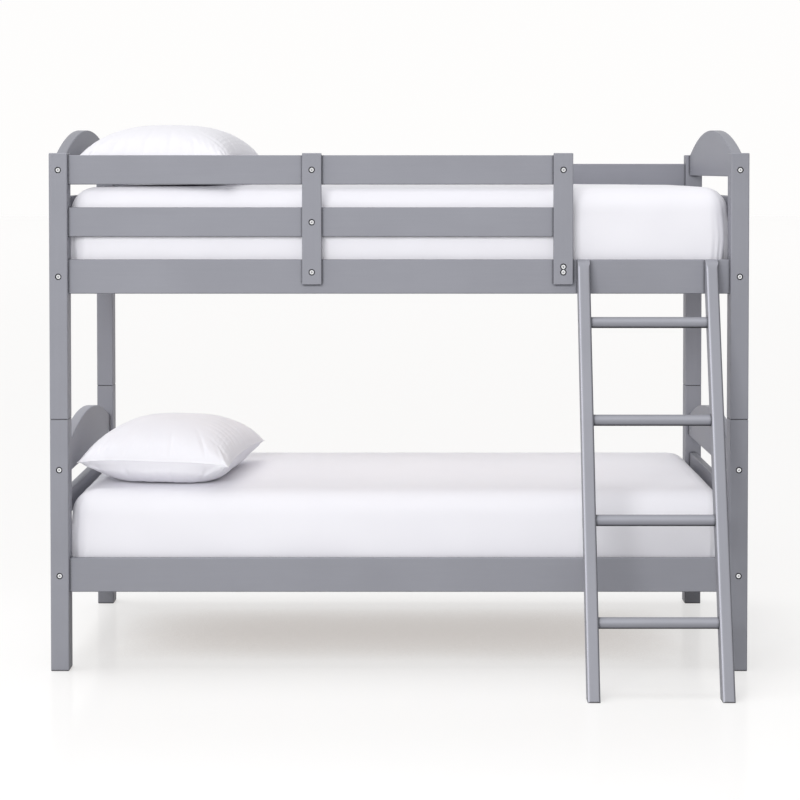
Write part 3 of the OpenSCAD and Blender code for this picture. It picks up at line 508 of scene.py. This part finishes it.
def smooth_waves(first: Array, second: Array, lengths: Pair, seed: int, count: int = 9) -> Array:
    """Soft irregular height over two coordinates.

    The height is the sum of count sine waves over the root of their number. Each has a
    random direction and phase and a length between the two lengths.

    Args:
        first: First coordinate in metres.
        second: Second coordinate in metres.
        lengths: Shortest and longest wave in metres.
        seed: Start of the random draws.
        count: Number of waves.

    Returns:
        Heights of about -1 to 1.
    """
    draw = np.random.default_rng(seed)
    total = np.zeros_like(first)
    for _ in range(count):
        angle = draw.uniform(0.0, math.tau)
        turns = math.tau / draw.uniform(*lengths)
        phase = draw.uniform(0.0, math.tau)
        total += np.sin(turns * (first * math.cos(angle) + second * math.sin(angle)) + phase)
    return total / math.sqrt(count)


# Mattresses and their sheets


@dataclass
class SlabForm:
    """Rounded slab over a plan with round corners: a crowned top grid, and rows that run
    from its edge over the side and, if asked, under the bottom."""

    low: Array
    high: Array
    swell: float = 0.0045
    crown: float = 0.006
    corner_radius: float = 0.062
    top_radius: float = 0.074
    bottom_radius: float = 0.022
    corner_lines: int = 14
    spacing: float = 0.016
    least_radius: float = 0.020
    rows: tuple[int, int, int, int] = (9, 18, 6, 7)  # shoulder, side, foot and tuck

    def __post_init__(self) -> None:
        """Works out the slab's middle, half sizes and height from its box."""
        self.middle = (self.low + self.high) / 2.0
        self.half = (self.high - self.low)[:2] / 2.0 - self.swell
        self.height = float(self.high[2] - self.low[2])
        self.shoulder = self.height - self.crown

    def radius_at(self, inset: Any) -> Any:
        """Radius of the plan's corners, at one inset or at many."""
        return np.maximum(self.corner_radius - inset, self.least_radius)

    def lines(self, half: float, radius: float) -> Array:
        """Places of the grid lines along one side, closer in the corners.

        Args:
            half: Half the side's length.
            radius: Radius of the corners.

        Returns:
            Places from -half to half.
        """
        straight = half - radius
        count = max(4, round(2.0 * straight / self.spacing))
        corner = np.linspace(0.0, radius, self.corner_lines + 1)[1:]
        middle = np.linspace(-straight, straight, count + 1)
        return np.concatenate([-straight - corner[::-1], middle, straight + corner])

    def plan(self, x: Array, y: Array, half: Array, radius: float) -> tuple[Array, Array, Array]:
        """Rounds the corners of a rectangular plan.

        In each corner square, of side radius, a point (a, b) from 0 to 1 goes to
        (a sqrt(1 - b^2 / 2), b sqrt(1 - a^2 / 2)), which turns the square into a quarter disc.

        Args:
            x: Places along the bed.
            y: Places across the bed.
            half: Half sizes of the plan.
            radius: Radius of its corners.

        Returns:
            New places, the share of the straight side at each point, and the corner vector.
        """
        places = np.stack([x, y], axis=-1)
        straight = half - radius
        beyond = np.clip((np.abs(places) - straight) / radius, 0.0, 1.0)
        corner = beyond * np.sqrt(1.0 - beyond[..., ::-1] ** 2 / 2.0)
        share = np.minimum(np.abs(places) / straight, 1.0)
        sign = np.where(places < 0, -1.0, 1.0)
        return sign * (share * straight + radius * corner), sign * share, sign * corner

    def side_profile(self, tuck: float) -> Array:
        """Inset and height of each row, from the top grid's edge outwards and down.

        A quarter circle of the top radius, then the side, which swells by a half sine, then
        a quarter circle of the bottom radius, and then, if tuck is over 0, a flat stretch
        under the slab.

        Args:
            tuck: How far the rows run in under the bottom.

        Returns:
            Pairs of inset and height above the slab's floor.
        """
        over_rows, side_rows, under_rows, tuck_rows = self.rows
        turn = np.radians(np.linspace(0.0, 90.0, over_rows)[1:])
        over = np.stack([self.top_radius * (1 - np.sin(turn)),
                         self.shoulder - self.top_radius * (1 - np.cos(turn))], axis=1)
        drop = np.linspace(0.0, 1.0, side_rows)[1:-1]
        reach = self.shoulder - self.top_radius - self.bottom_radius
        side = np.stack([-self.swell * np.sin(math.pi * drop),
                         self.bottom_radius + reach * (1 - drop)], axis=1)
        turn = np.radians(np.linspace(0.0, 90.0, under_rows))
        under = np.stack([self.bottom_radius * (1 - np.cos(turn)),
                          self.bottom_radius * (1 - np.sin(turn))], axis=1)
        rows = [over, side, under]
        if tuck > 0:
            run = np.linspace(0.0, 1.0, tuck_rows)[1:]
            rows.append(np.stack([self.bottom_radius + tuck * run, np.zeros_like(run)], axis=1))
        return np.concatenate(rows)

    def build(self, tuck: float, closed: bool) -> "SlabMesh":
        """Builds the grids.

        Args:
            tuck: How far the rows run in under the bottom.
            closed: Whether a bottom grid closes the slab.

        Returns:
            The slab's points and faces.
        """
        inset = self.top_radius
        half = self.half - inset
        radius = self.radius_at(inset)
        xs, ys = self.lines(half[0], radius), self.lines(half[1], radius)
        x, y = np.meshgrid(xs, ys, indexing="ij")
        flat, share, corner = self.plan(x, y, half, radius)
        rise = (1 - (x / half[0]) ** 2) * (1 - (y / half[1]) ** 2)
        top = np.dstack([flat, self.shoulder + self.crown * rise ** 0.5])
        ids = np.arange(x.size).reshape(x.shape)
        edge = np.concatenate([ids[:-1, 0], ids[-1, :-1], ids[:0:-1, -1], ids[0, :0:-1]])
        edge_flat, edge_share, turned = (
            part.reshape(-1, 2)[edge] for part in (flat, share, corner))
        outward = turned / np.linalg.norm(turned, axis=1, keepdims=True)
        profile = self.side_profile(tuck)
        insets = profile[:, :1, None]
        radii = self.radius_at(insets)
        places = edge_share * (self.half - insets - radii) + outward * radii
        heights = np.broadcast_to(profile[:, 1:, None], (*places.shape[:2], 1))
        sides = np.concatenate([places, heights], axis=2)
        ring = np.arange(sides.shape[0] * sides.shape[1]).reshape(sides.shape[:2]) + x.size
        loops = np.vstack([edge, ring])
        loops = np.hstack([loops, loops[:, :1]])
        faces = [grid_faces(ids), grid_faces(loops)]
        points = [top.reshape(-1, 3), sides.reshape(-1, 3)]
        travelled = np.cumsum(np.hypot(np.diff(profile[:, 0], prepend=inset),
                                       np.diff(profile[:, 1], prepend=self.shoulder)))
        spread = edge_flat + outward * travelled[:, None, None]
        cloth = [flat.reshape(-1, 2), spread.reshape(-1, 2)]
        if closed:
            low_radius = self.radius_at(self.bottom_radius)
            straight = self.half - self.bottom_radius - low_radius
            low_flat = share * straight + corner * low_radius
            low = np.dstack([low_flat, np.zeros(x.shape)])
            low_ids = np.full(x.shape, -1)
            low_ids.reshape(-1)[edge] = ring[-1]
            inner = low_ids < 0
            low_ids[inner] = x.size + ring.size + np.arange(inner.sum())
            faces.append(grid_faces(low_ids)[:, ::-1])
            points.append(low[inner])
            cloth.append(low_flat[inner])
        return SlabMesh(np.concatenate(points), np.concatenate(faces), np.concatenate(cloth),
                        x.size, sides.shape[:2], outward)


@dataclass
class SlabMesh:
    """Points of a slab: the top grid first, then the side rows, then the bottom."""

    points: Array
    faces: Array
    cloth: Array
    top_count: int
    side_shape: tuple[int, int]
    outward: Array

    def sides(self) -> Array:
        """The side rows' points, as a view that changes the mesh."""
        rows, columns = self.side_shape
        end = self.top_count + rows * columns
        return self.points[self.top_count:end].reshape(rows, columns, 3)


@dataclass
class DressedMattress:
    """A mattress core with its fitted sheet, in the place of one CAD mattress."""

    node: str
    body: str
    cotton: Material
    ticking: Material
    seed: int
    sheet_gap: float = 0.0025
    tuck: float = 0.085
    thickness: float = 0.0007
    side_waves: Pair = (0.10, 0.42)
    side_squeeze: float = 1.6
    top_waves: Pair = (0.12, 0.5)
    top_fade: float = 0.08
    wave_height: float = 0.0009
    gather_height: float = 0.0022
    gather_length: float = 0.026
    gather_reach: float = 0.13
    gather_bend: float = 1.3
    gather_bends: int = 5
    pull: float = 0.0025
    corner_fold: float = 0.0022
    fold_turn: float = 0.76
    fold_width: float = 0.10
    fold_sway: float = 0.06
    fold_sway_length: float = 0.05
    core_spacing: float = 0.03
    core_corner_lines: int = 8
    rounding_loss: float = 0.030
    hem_share: float = 0.93

    def form(self) -> SlabForm:
        """The slab that the CAD mattress fills, pulled a little longer."""
        low, high = box_of(self.node)
        longer = np.array([self.pull, 0.0, 0.0])
        return SlabForm(low - longer, high + longer)

    def lay(self, part: str, slab: SlabForm, mesh: SlabMesh, finish: Material) -> Piece:
        """Makes a piece of a slab's mesh in the mattress's place."""
        points = mesh.points + np.array([*slab.middle[:2], slab.low[2]])
        return make_piece(f"{self.node}_{part}", points, mesh.faces, finish, mesh.cloth)

    def crumple(self, slab: SlabForm, mesh: SlabMesh) -> None:
        """Moves the sheet's sides in and out and lets its top wave softly.

        Three kinds of fold add up. Long soft waves cover the whole side. Upright gathers
        stand near the corners: a sine along the edge, whose height falls towards the top and
        away from the corner. One groove runs down each corner, where the outward direction
        has turned by about 50 degrees.

        Args:
            slab: The slab's form.
            mesh: The sheet's points, which change.
        """
        sides = mesh.sides()
        x, y, z = np.moveaxis(sides, -1, 0)
        along = x + y
        waves = smooth_waves(along, z * self.side_squeeze, self.side_waves, self.seed)
        to_corner = np.hypot(slab.half[0] - np.abs(x), slab.half[1] - np.abs(y))
        near = np.exp(-(to_corner / self.gather_reach) ** 2)
        low = np.clip(1.0 - z / slab.height, 0.0, 1.0) ** 2
        around = np.arctan2(slab.half[1] - np.abs(y), slab.half[0] - np.abs(x))
        bend = self.gather_bend * np.sin(self.gather_bends * around)
        phase = math.tau * (along / self.gather_length) + bend
        folds = self.gather_height * near * low * np.sin(phase)
        fade = np.clip(z / slab.bottom_radius, 0.0, 1.0)
        depth = (self.wave_height * waves + folds) * fade - self.gather_height * near * low * fade
        sway = self.fold_sway * np.sin(z / self.fold_sway_length + self.seed)
        turned = (np.abs(mesh.outward[None, :, 0]) + sway - self.fold_turn) / self.fold_width
        over = np.clip((slab.height - z) / slab.top_radius, 0.0, 1.0)
        depth -= self.corner_fold * np.exp(-turned ** 2) * over * fade
        sides[..., :2] += mesh.outward[None] * depth[..., None]
        top = mesh.points[:mesh.top_count]
        waves = smooth_waves(top[:, 0], top[:, 1], self.top_waves, self.seed + 1)
        edge = np.minimum(slab.half[0] - np.abs(top[:, 0]), slab.half[1] - np.abs(top[:, 1]))
        fade = np.clip((edge - slab.top_radius) / self.top_fade, 0.0, 1.0)
        top[:, 2] += (0.5 * waves - 0.5) * self.wave_height * fade

    def sheet(self) -> Piece:
        """Makes the fitted sheet, with its thickness inwards and a closed hem."""
        slab = self.form()
        mesh = slab.build(self.tuck, closed=False)
        self.crumple(slab, mesh)
        piece = self.lay("fitted_sheet", slab, mesh, self.cotton)
        wall = piece.modifiers.new("cloth_thickness", "SOLIDIFY")
        wall.thickness = self.thickness
        wall.offset = -1.0
        return piece

    def core(self) -> Piece:
        """Makes the mattress inside the sheet, smaller by the gap on every side."""
        low, high = box_of(self.node)
        gap = self.sheet_gap
        slab = SlabForm(low + gap, high - gap, spacing=self.core_spacing,
                        corner_lines=self.core_corner_lines,
                        corner_radius=SlabForm.corner_radius - gap,
                        top_radius=SlabForm.top_radius - gap,
                        bottom_radius=SlabForm.bottom_radius - gap)
        return self.lay("core", slab, slab.build(0.0, closed=True), self.ticking)

    def build(self) -> None:
        core, sheet = self.core(), self.sheet()
        slab = self.form()
        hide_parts(self.node)
        for piece in (core, sheet):
            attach(piece, self.body)
        LOG.info("made %s and %s", core.name, sheet.name)


# Pillows


@dataclass(frozen=True)
class Inflation:
    """Cloth simulation that fills a sewn case with a little pressure."""

    frames: int = 20
    pressure: float = 4.0
    slack: float = 0.035
    most: float = 0.005

    def run(self, piece: Piece, pinned: Array) -> None:
        """Simulates, caps how far each point moves, and keeps the result in the mesh.

        Args:
            piece: The case, which changes.
            pinned: Numbers of the points that stay where they lie.
        """
        before = read_points(piece.data)
        group = piece.vertex_groups.new(name="lying")
        group.add(pinned.tolist(), 1.0, "REPLACE")
        cloth = piece.modifiers.new("inflation", "CLOTH")
        cloth.settings.effector_weights.gravity = 0.0
        for name, value in (
            ("quality", 8), ("mass", 0.25), ("tension_stiffness", 18.0),
            ("compression_stiffness", 18.0), ("shear_stiffness", 6.0),
            ("bending_stiffness", 0.4), ("use_pressure", True),
            ("uniform_pressure_force", self.pressure), ("shrink_min", -self.slack),
            ("vertex_group_mass", "lying"),
        ):
            setattr(cloth.settings, name, value)
        cloth.point_cache.frame_start = 1
        cloth.point_cache.frame_end = self.frames
        scene = bpy.context.scene
        for number in range(1, self.frames + 1):
            scene.frame_set(number)
        shown = piece.evaluated_get(bpy.context.evaluated_depsgraph_get())
        moved = read_points(shown.data) - before
        piece.modifiers.remove(cloth)
        piece.vertex_groups.remove(group)
        scene.frame_set(1)
        length = np.linalg.norm(moved, axis=1, keepdims=True)
        capped = self.most * np.tanh(length / self.most)
        write_points(piece.data, before + moved * capped / np.maximum(length, NOTHING))


def read_points(mesh: bpy.types.Mesh) -> Array:
    """Places of a mesh's points, one row of three for each."""
    places = np.empty(len(mesh.vertices) * 3, dtype=np.float32)
    mesh.vertices.foreach_get("co", places)
    return places.reshape(-1, 3).astype(float)


def write_points(mesh: bpy.types.Mesh, places: Array) -> None:
    """Sets the places of a mesh's points."""
    mesh.vertices.foreach_set("co", places.astype(np.float32).ravel())
    mesh.update()


@dataclass(frozen=True)
class CaseGrid:
    """Points of half a pillow case: places x and y, and their shares u and v of the half
    width and the half length, from -1 to 1."""

    u: Array
    v: Array
    x: Array
    y: Array


@dataclass
class Pillow:
    """A filled pillow in a white case, in the place of one CAD pillow."""

    node: str
    body: str
    cotton: Material
    seed: int
    width: float = 0.462
    length: float = 0.628
    height: float = 0.181
    shift: float = -0.004
    seam: float = 0.070
    seam_lift: float = 0.008
    draw_in: float = 0.047
    fullness: float = 2.85
    turn: float = math.radians(-6.3)
    rows: int = 104
    columns: int = 88
    start_share: float = 0.905
    shoulder: float = 0.61
    belly: float = 0.68
    belly_depth: float = 1.37
    end_draw_in: float = 0.7
    rim_share: float = 0.96
    corner_drop: float = 0.12
    piping: float = 0.0022
    piping_width: float = 0.0012
    wrinkle_depth: float = 0.0058
    wrinkle_pitch: float = 0.030
    wrinkle_reach: float = 0.10
    wrinkle_fan: float = 2.6
    fan_reach: float = 0.2
    wander: float = 0.35
    wander_length: float = 0.031
    far_shift: float = 0.4
    valley_width: float = 0.35
    seam_fade: float = 0.009
    depth_draw: Point = (0.55, 0.45, 2.4)
    reach_draw: Point = (0.75, 0.35, 4.1)
    seed_step: float = 1.7
    pleat_depth: float = 0.0007
    pleat_pitch: float = 0.0125
    pleat_middle: float = 0.035
    pleat_reach: float = 0.026
    pleat_bend: float = 1.1
    pleat_waves: Pair = (0.10, 0.26)
    pleat_wave_count: int = 6
    lower_wrinkles: float = 0.4
    seam_sharpness: float = 0.9
    inflation: Inflation = Inflation()

    def surface(self, upper: bool) -> tuple[Array, Array]:
        """Points of one half of the case.

        Fullness is (1 - |u|^p)(1 - |v|^p). The plan draws in between the corners by a share
        of 1 - v^2 and 1 - u^2. The seam rises a little towards the end of the bed. The upper
        half rises from it with fullness^shoulder; the lower one falls with fullness^belly
        and is cut flat where the pillow lies.

        Args:
            upper: Which half.

        Returns:
            The points, and their flat places in metres.
        """
        rim = math.pi / 2 * self.rim_share
        u, v = np.meshgrid(*(np.sin(np.linspace(-rim, rim, count + 1)) / math.sin(rim)
                             for count in (self.rows, self.columns)), indexing="ij")
        full = np.clip((1 - np.abs(u) ** self.fullness) * (1 - np.abs(v) ** self.fullness),
                       0.0, 1.0)
        x = self.width / 2 * u * (1 - self.draw_in * (1 - v ** 2))
        y = self.length / 2 * v * (1 - self.draw_in * self.end_draw_in * (1 - u ** 2))
        seam = (self.seam + self.seam_lift * (1 - u) / 2) * (1 - self.corner_drop * (u * v) ** 4)
        gap = np.minimum((1 - np.abs(u)) * self.width, (1 - np.abs(v)) * self.length) / 2
        sewn = 1 - np.exp(-gap / self.piping_width)
        grid = CaseGrid(u, v, x, y)
        if upper:
            z = seam + self.start_share * (self.height - seam) * full ** self.shoulder * sewn
            z -= self.wrinkles(grid, 1.0) + self.pleats(grid)
        else:
            z = seam - self.seam * self.belly_depth * full ** self.belly * sewn
            z = np.maximum(z + self.wrinkles(grid, self.lower_wrinkles), 0.0)
        x += np.where(np.abs(u) > ON_SEAM, np.sign(u) * self.piping, 0.0)
        y += np.where(np.abs(v) > ON_SEAM, np.sign(v) * self.piping, 0.0)
        flat = np.stack([x + (0.0 if upper else 1.0), y], axis=-1)
        return np.stack([x, y, z], axis=-1), flat

    def wrinkles(self, grid: CaseGrid, strength: float) -> Array:
        """Depths of the soft folds that run from the seams towards the middle.

        Along each seam the folds stand about one pitch apart. A fold is a narrow valley,
        exp(-k sin^2), in a coordinate that shrinks towards the middle with the distance
        from the seam, so the folds fan out. Each has its own depth and reach. A draw holds
        their mean, their swing and how fast the sine that picks them runs with the number.

        Args:
            grid: The points.
            strength: Share of the depth.

        Returns:
            Depths in metres.
        """
        depth = np.zeros_like(grid.x)
        for side, (share, other, size, along) in enumerate((
                (grid.v, grid.u, self.length, grid.x), (grid.u, grid.v, self.width, grid.y))):
            gap = (1 - np.abs(share)) * size / 2
            start = along / (1 - self.wrinkle_fan * np.minimum(gap, self.fan_reach))
            wander = self.wander * np.sin(start / self.wander_length + self.seed + side)
            shift = np.where(share < 0, 0.0, self.far_shift)
            place = start / self.wrinkle_pitch + wander + shift
            number = np.round(place)
            mean, swing, pace = self.depth_draw
            own = mean + swing * np.sin(number * pace + self.seed * self.seed_step + side)
            mean, swing, pace = self.reach_draw
            reach = self.wrinkle_reach * (mean + swing * np.sin(number * pace + self.seed))
            valley = np.exp(-np.sin(math.pi * place) ** 2 / self.valley_width)
            fade = np.exp(-(gap / reach) ** 2) * (1 - np.exp(-gap / self.seam_fade))
            depth += own * valley * fade * (1 - np.abs(other) ** 4)
        return self.wrinkle_depth * strength * depth

    def pleats(self, grid: CaseGrid) -> Array:
        """Depths of the fine pleats that follow the seam on the open side of the bed.

        They are a sine of the distance from that seam, bent by slow waves, and die away
        both at the seam and towards the middle.

        Args:
            grid: The points.

        Returns:
            Depths in metres.
        """
        gap = (1 - grid.u) * self.width / 2
        bend = smooth_waves(grid.x, grid.y, self.pleat_waves, self.seed, self.pleat_wave_count)
        fade = np.exp(-((gap - self.pleat_middle) / self.pleat_reach) ** 2) * (1 - grid.v ** 6)
        phase = math.tau * gap / self.pleat_pitch + self.pleat_bend * bend
        return self.pleat_depth * fade * np.sin(phase)

    def crease_seam(self, mesh: bpy.types.Mesh, seam: Array) -> None:
        """Keeps the edges between two seam points sharp when the case is rounded."""
        sharp = seam[np.array([edge.vertices[:] for edge in mesh.edges])].all(axis=1)
        crease = mesh.attributes.new("crease_edge", "FLOAT", "EDGE")
        crease.data.foreach_set("value", sharp.astype(np.float32) * self.seam_sharpness)

    def build(self) -> None:
        top, top_flat = self.surface(True)
        low, low_flat = self.surface(False)
        rows, columns = self.rows + 1, self.columns + 1
        ids = np.arange(rows * columns).reshape(rows, columns)
        inner = np.zeros((rows, columns), dtype=bool)
        inner[1:-1, 1:-1] = True
        low_ids = ids.copy()
        low_ids[inner] = ids.size + np.arange(inner.sum())
        points = np.concatenate([top.reshape(-1, 3), low[inner]])
        flat = np.concatenate([top_flat.reshape(-1, 2), low_flat[inner]])
        faces = np.concatenate([grid_faces(ids), grid_faces(low_ids)[:, ::-1]])
        corner_low, corner_high = box_of(self.node)
        middle = (corner_low + corner_high) / 2.0
        cosine, sine = math.cos(self.turn), math.sin(self.turn)
        x, y, z = points.T
        turned = np.column_stack([middle[0] + self.shift + cosine * x - sine * y,
                                  middle[1] + sine * x + cosine * y, corner_low[2] + z])
        piece = make_piece(self.node + "_case", turned, faces, self.cotton, flat)
        seam = np.zeros(len(points), dtype=bool)
        seam[:ids.size] = ~inner.ravel()
        self.crease_seam(piece.data, seam)
        self.inflation.run(piece, np.nonzero(z < MILLIMETRE)[0])
        places = read_points(piece.data)
        places[:, 2] = np.maximum(places[:, 2], corner_low[2])
        write_points(piece.data, places)
        rounder = piece.modifiers.new("soft_fabric", "SUBSURF")
        rounder.levels = rounder.render_levels = 1
        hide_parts(self.node)
        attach(piece, self.body)
        LOG.info("made %s", piece.name)


# Finishes on the CAD pieces


@dataclass
class BedFrame:
    """Gives every CAD piece of the two beds, the guards and the ladder its finish."""

    grains: tuple[tuple[tuple[str, ...], Grain], ...] = (
        (("ladder_left_rail", "ladder_right_rail"), Grain.LEANING),
        (("ladder_rungs",), Grain.ROUND),
        (("post",), Grain.UPRIGHT),
        (("arch_panel", "crosspiece", "end_rail"), Grain.ACROSS_BED),
    )
    # The ladder's rails get a strong painted highlight on their left front edges and painted
    # shade on their right front edges; the rungs get a painted highlight on their upper front and
    # painted shade underneath
    ladder_paints: tuple[PaintedWood, ...] = (
        PaintedWood(Grain.LEANING, colour=(0.350, 0.354, 0.395), edge_radius=0.0045,
                    lit=(-0.71, -0.67, 0.21), lit_strength=0.95,
                    dim=(0.71, -0.67, 0.21), dim_strength=-0.55),
        PaintedWood(Grain.ROUND, colour=(0.306, 0.310, 0.346), edge_radius=0.0005,
                    lit=(0.0, -0.91, 0.41), lit_strength=0.30,
                    dim=(0.0, -0.50, -0.87), dim_strength=-0.85),
    )

    def grain_of(self, node: str) -> Grain:
        """Direction of a painted piece's grain, which the end of its name tells."""
        return next((grain for ends, grain in self.grains if node.endswith(ends)),
                    Grain.ALONG_BED)

    def dress(self) -> None:
        """Puts the finishes on the CAD objects."""
        slots = {part["node"]: part["material_slot"] for part in frame["record"]["subparts"]}
        boards = map(PaintedWood, (Grain.ALONG_BED, Grain.ACROSS_BED, Grain.UPRIGHT))
        paints = {paint.grain: paint.material() for paint in (*boards, *self.ladder_paints)}
        others = {"raw_pine": RawPine().material(), "zinc_steel": ZincSteel().material()}
        for node, piece in frame["nodes"].items():
            slot = slots.get(node, "grey_paint")
            if slot.endswith("cotton"):
                continue
            finish = others.get(slot) or paints[self.grain_of(node)]
            if not piece.material_slots:
                piece.data.materials.append(finish)
            for holder in piece.material_slots:
                holder.material = finish
            LOG.info("finished %s in %s", node, finish.name)


# Studio


def turn_from(way: Array) -> Point:
    """Rotation of a lamp that shines from a direction."""
    around = math.atan2(way[0], -way[1]) if way[:2].any() else 0.0
    return math.atan2(math.hypot(way[0], way[1]), way[2]), 0.0, around


@dataclass(frozen=True)
class DistantLamp:
    """Soft light from one direction."""

    name: str
    direction: Point
    share: float
    angle: float
    in_gloss: bool = True

    def build(self) -> None:
        """Makes the lamp; share is what a surface that faces it receives."""
        light = bpy.data.lights.new(self.name, "SUN")
        light.energy = math.pi * self.share
        light.angle = math.radians(self.angle)
        lamp = stand(self.name, light)
        lamp.rotation_euler = turn_from(np.array(self.direction))
        lamp.visible_glossy = self.in_gloss


@dataclass(frozen=True)
class SoftBox:
    """Rectangular lamp, seen neither by the camera nor in gloss."""

    name: str
    place: Point
    aim: Point
    size: Pair
    power: float
    colour: Colour = (1.0, 1.0, 1.0)
    spread: float = 180.0

    def build(self) -> None:
        """Makes the lamp and turns it from its place towards its aim."""
        light = bpy.data.lights.new(self.name, "AREA")
        light.shape = "RECTANGLE"
        light.size, light.size_y = self.size
        light.energy = self.power
        light.color = self.colour
        light.spread = math.radians(self.spread)
        lamp = stand(self.name, light)
        lamp.location = self.place
        lamp.rotation_euler = turn_from(np.array(self.place) - np.array(self.aim))
        lamp.visible_camera = lamp.visible_glossy = False


@dataclass
class Studio:
    """Pale floor, even sky, a soft box at the front left, soft light from above and from
    the bright backdrop behind, and a fill in the lower berth."""

    sky: float = 0.44
    sky_lean: Point = (-0.62, -0.10, 0.45)
    backdrop: Colour = (0.992, 0.985, 0.977)
    floor_size: float = 120.0
    floor_drop: float = 0.0004
    berth_fill: float = 0.41
    fill_overhang: float = 0.26
    fill_drop: float = 0.06
    fill_colour: Colour = (0.94, 0.97, 1.0)
    lamps: tuple[DistantLamp | SoftBox, ...] = (
        SoftBox("front_light", (-1.0, -5.3, 2.2), (0.0, -0.3, 0.9), (2.8, 1.8), 163.0),
        DistantLamp("top_light", (-0.14, 0.06, 0.98), 0.33, 24.0),
        DistantLamp("backdrop_light", (0.10, 0.92, 0.38), 0.16, 60.0, in_gloss=False),
    )

    def build(self) -> None:
        """Makes floor, world and lamps."""
        half = self.floor_size / 2.0
        points = np.array([(x * half, y * half, -self.floor_drop)
                           for x, y in ((-1, -1), (1, -1), (1, 1), (-1, 1))])
        make_piece("studio_floor", points, np.array([[0, 1, 2, 3]]),
                            PaleFloor().material())
        self.build_world()
        for lamp in self.lamps:
            lamp.build()
        self.build_fill()

    def build_fill(self) -> None:
        """A soft lamp under the upper slats, which only lights what lies below it."""
        low, high = box_of("upper_slats")
        middle = (low + high) / 2.0
        width, depth = high[0] - low[0] + 2 * self.fill_overhang, high[1] - low[1]
        SoftBox("berth_fill", (*middle[:2], low[2] - self.fill_drop), (*middle[:2], 0.0),
                (width, depth), math.pi * self.berth_fill * width * depth,
                self.fill_colour, spread=90.0).build()

    def build_world(self) -> None:
        """A world that looks white to the camera and in gloss. Its light grows with the
        lean: more from the left, from the front and from above."""
        graph = ShaderGraph("studio_sky", "worlds")
        lean = graph.node("VectorMath", {
            0: graph.node("TexCoord").outputs["Generated"], 1: scaled(self.sky_lean, self.sky),
        }, operation="DOT_PRODUCT").outputs["Value"]
        light = graph.node("Background", {"Strength": graph.math("ADD", lean, self.sky)})
        shown = graph.node("Background", {"Color": rgba(self.backdrop)})
        mixed = graph.node("MixShader", {
            0: graph.seen(), 1: light.outputs[0], 2: shown.outputs[0],
        })
        bpy.context.scene.world = graph.end("OutputWorld", mixed)


@dataclass
class PhotographCamera:
    """The photograph's viewpoint, set up from the front faces of the posts."""

    distance: float = 6.309
    height: float = 1.458
    side: float = 0.0026
    focal_pixels: float = 2189.0
    image_pixels: float = 800.0
    horizon_rise: float = 166.0
    pitch_down: float = 0.03
    sensor_mm: float = 36.0

    def build(self) -> None:
        """Makes the camera and sets it."""
        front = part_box("lower_front_left_post")[0][1]
        lens = bpy.data.cameras.new("photograph_camera")
        lens.sensor_width = self.sensor_mm
        lens.sensor_fit = "HORIZONTAL"
        lens.lens = self.focal_pixels / self.image_pixels * self.sensor_mm
        lens.shift_y = -self.horizon_rise / self.image_pixels
        camera = stand("photograph_camera", lens)
        camera.location = (self.side, front - self.distance, self.height)
        camera.rotation_euler = (math.pi / 2.0 - self.pitch_down, 0.0, 0.0)
        bpy.context.scene.camera = camera


def main() -> None:
    """Builds the studio and the bed's finishes and bedding in order."""
    logging.basicConfig(level=logging.INFO)
    bpy.context.scene.view_settings.view_transform = "Standard"
    PhotographCamera().build()
    Studio().build()
    BedFrame().dress()
    sheet_cotton = WovenCotton("mattress_cotton").material()
    case_cotton = WovenCotton("pillow_cotton").material()
    ticking = QuiltedTicking().material()
    tiers = (("lower", 11, 31, {}),
             ("upper", 21, 32, {"width": 0.472, "height": 0.186, "shoulder": 0.585}))
    for tier, sheet_seed, case_seed, shape in tiers:
        DressedMattress(f"{tier}_mattress", f"{tier}_mattress_body", sheet_cotton, ticking,
                        sheet_seed).build()
        Pillow(f"{tier}_pillow", f"{tier}_pillow_body", case_cotton, case_seed, **shape).build()


if __name__ == "__main__":
    main()
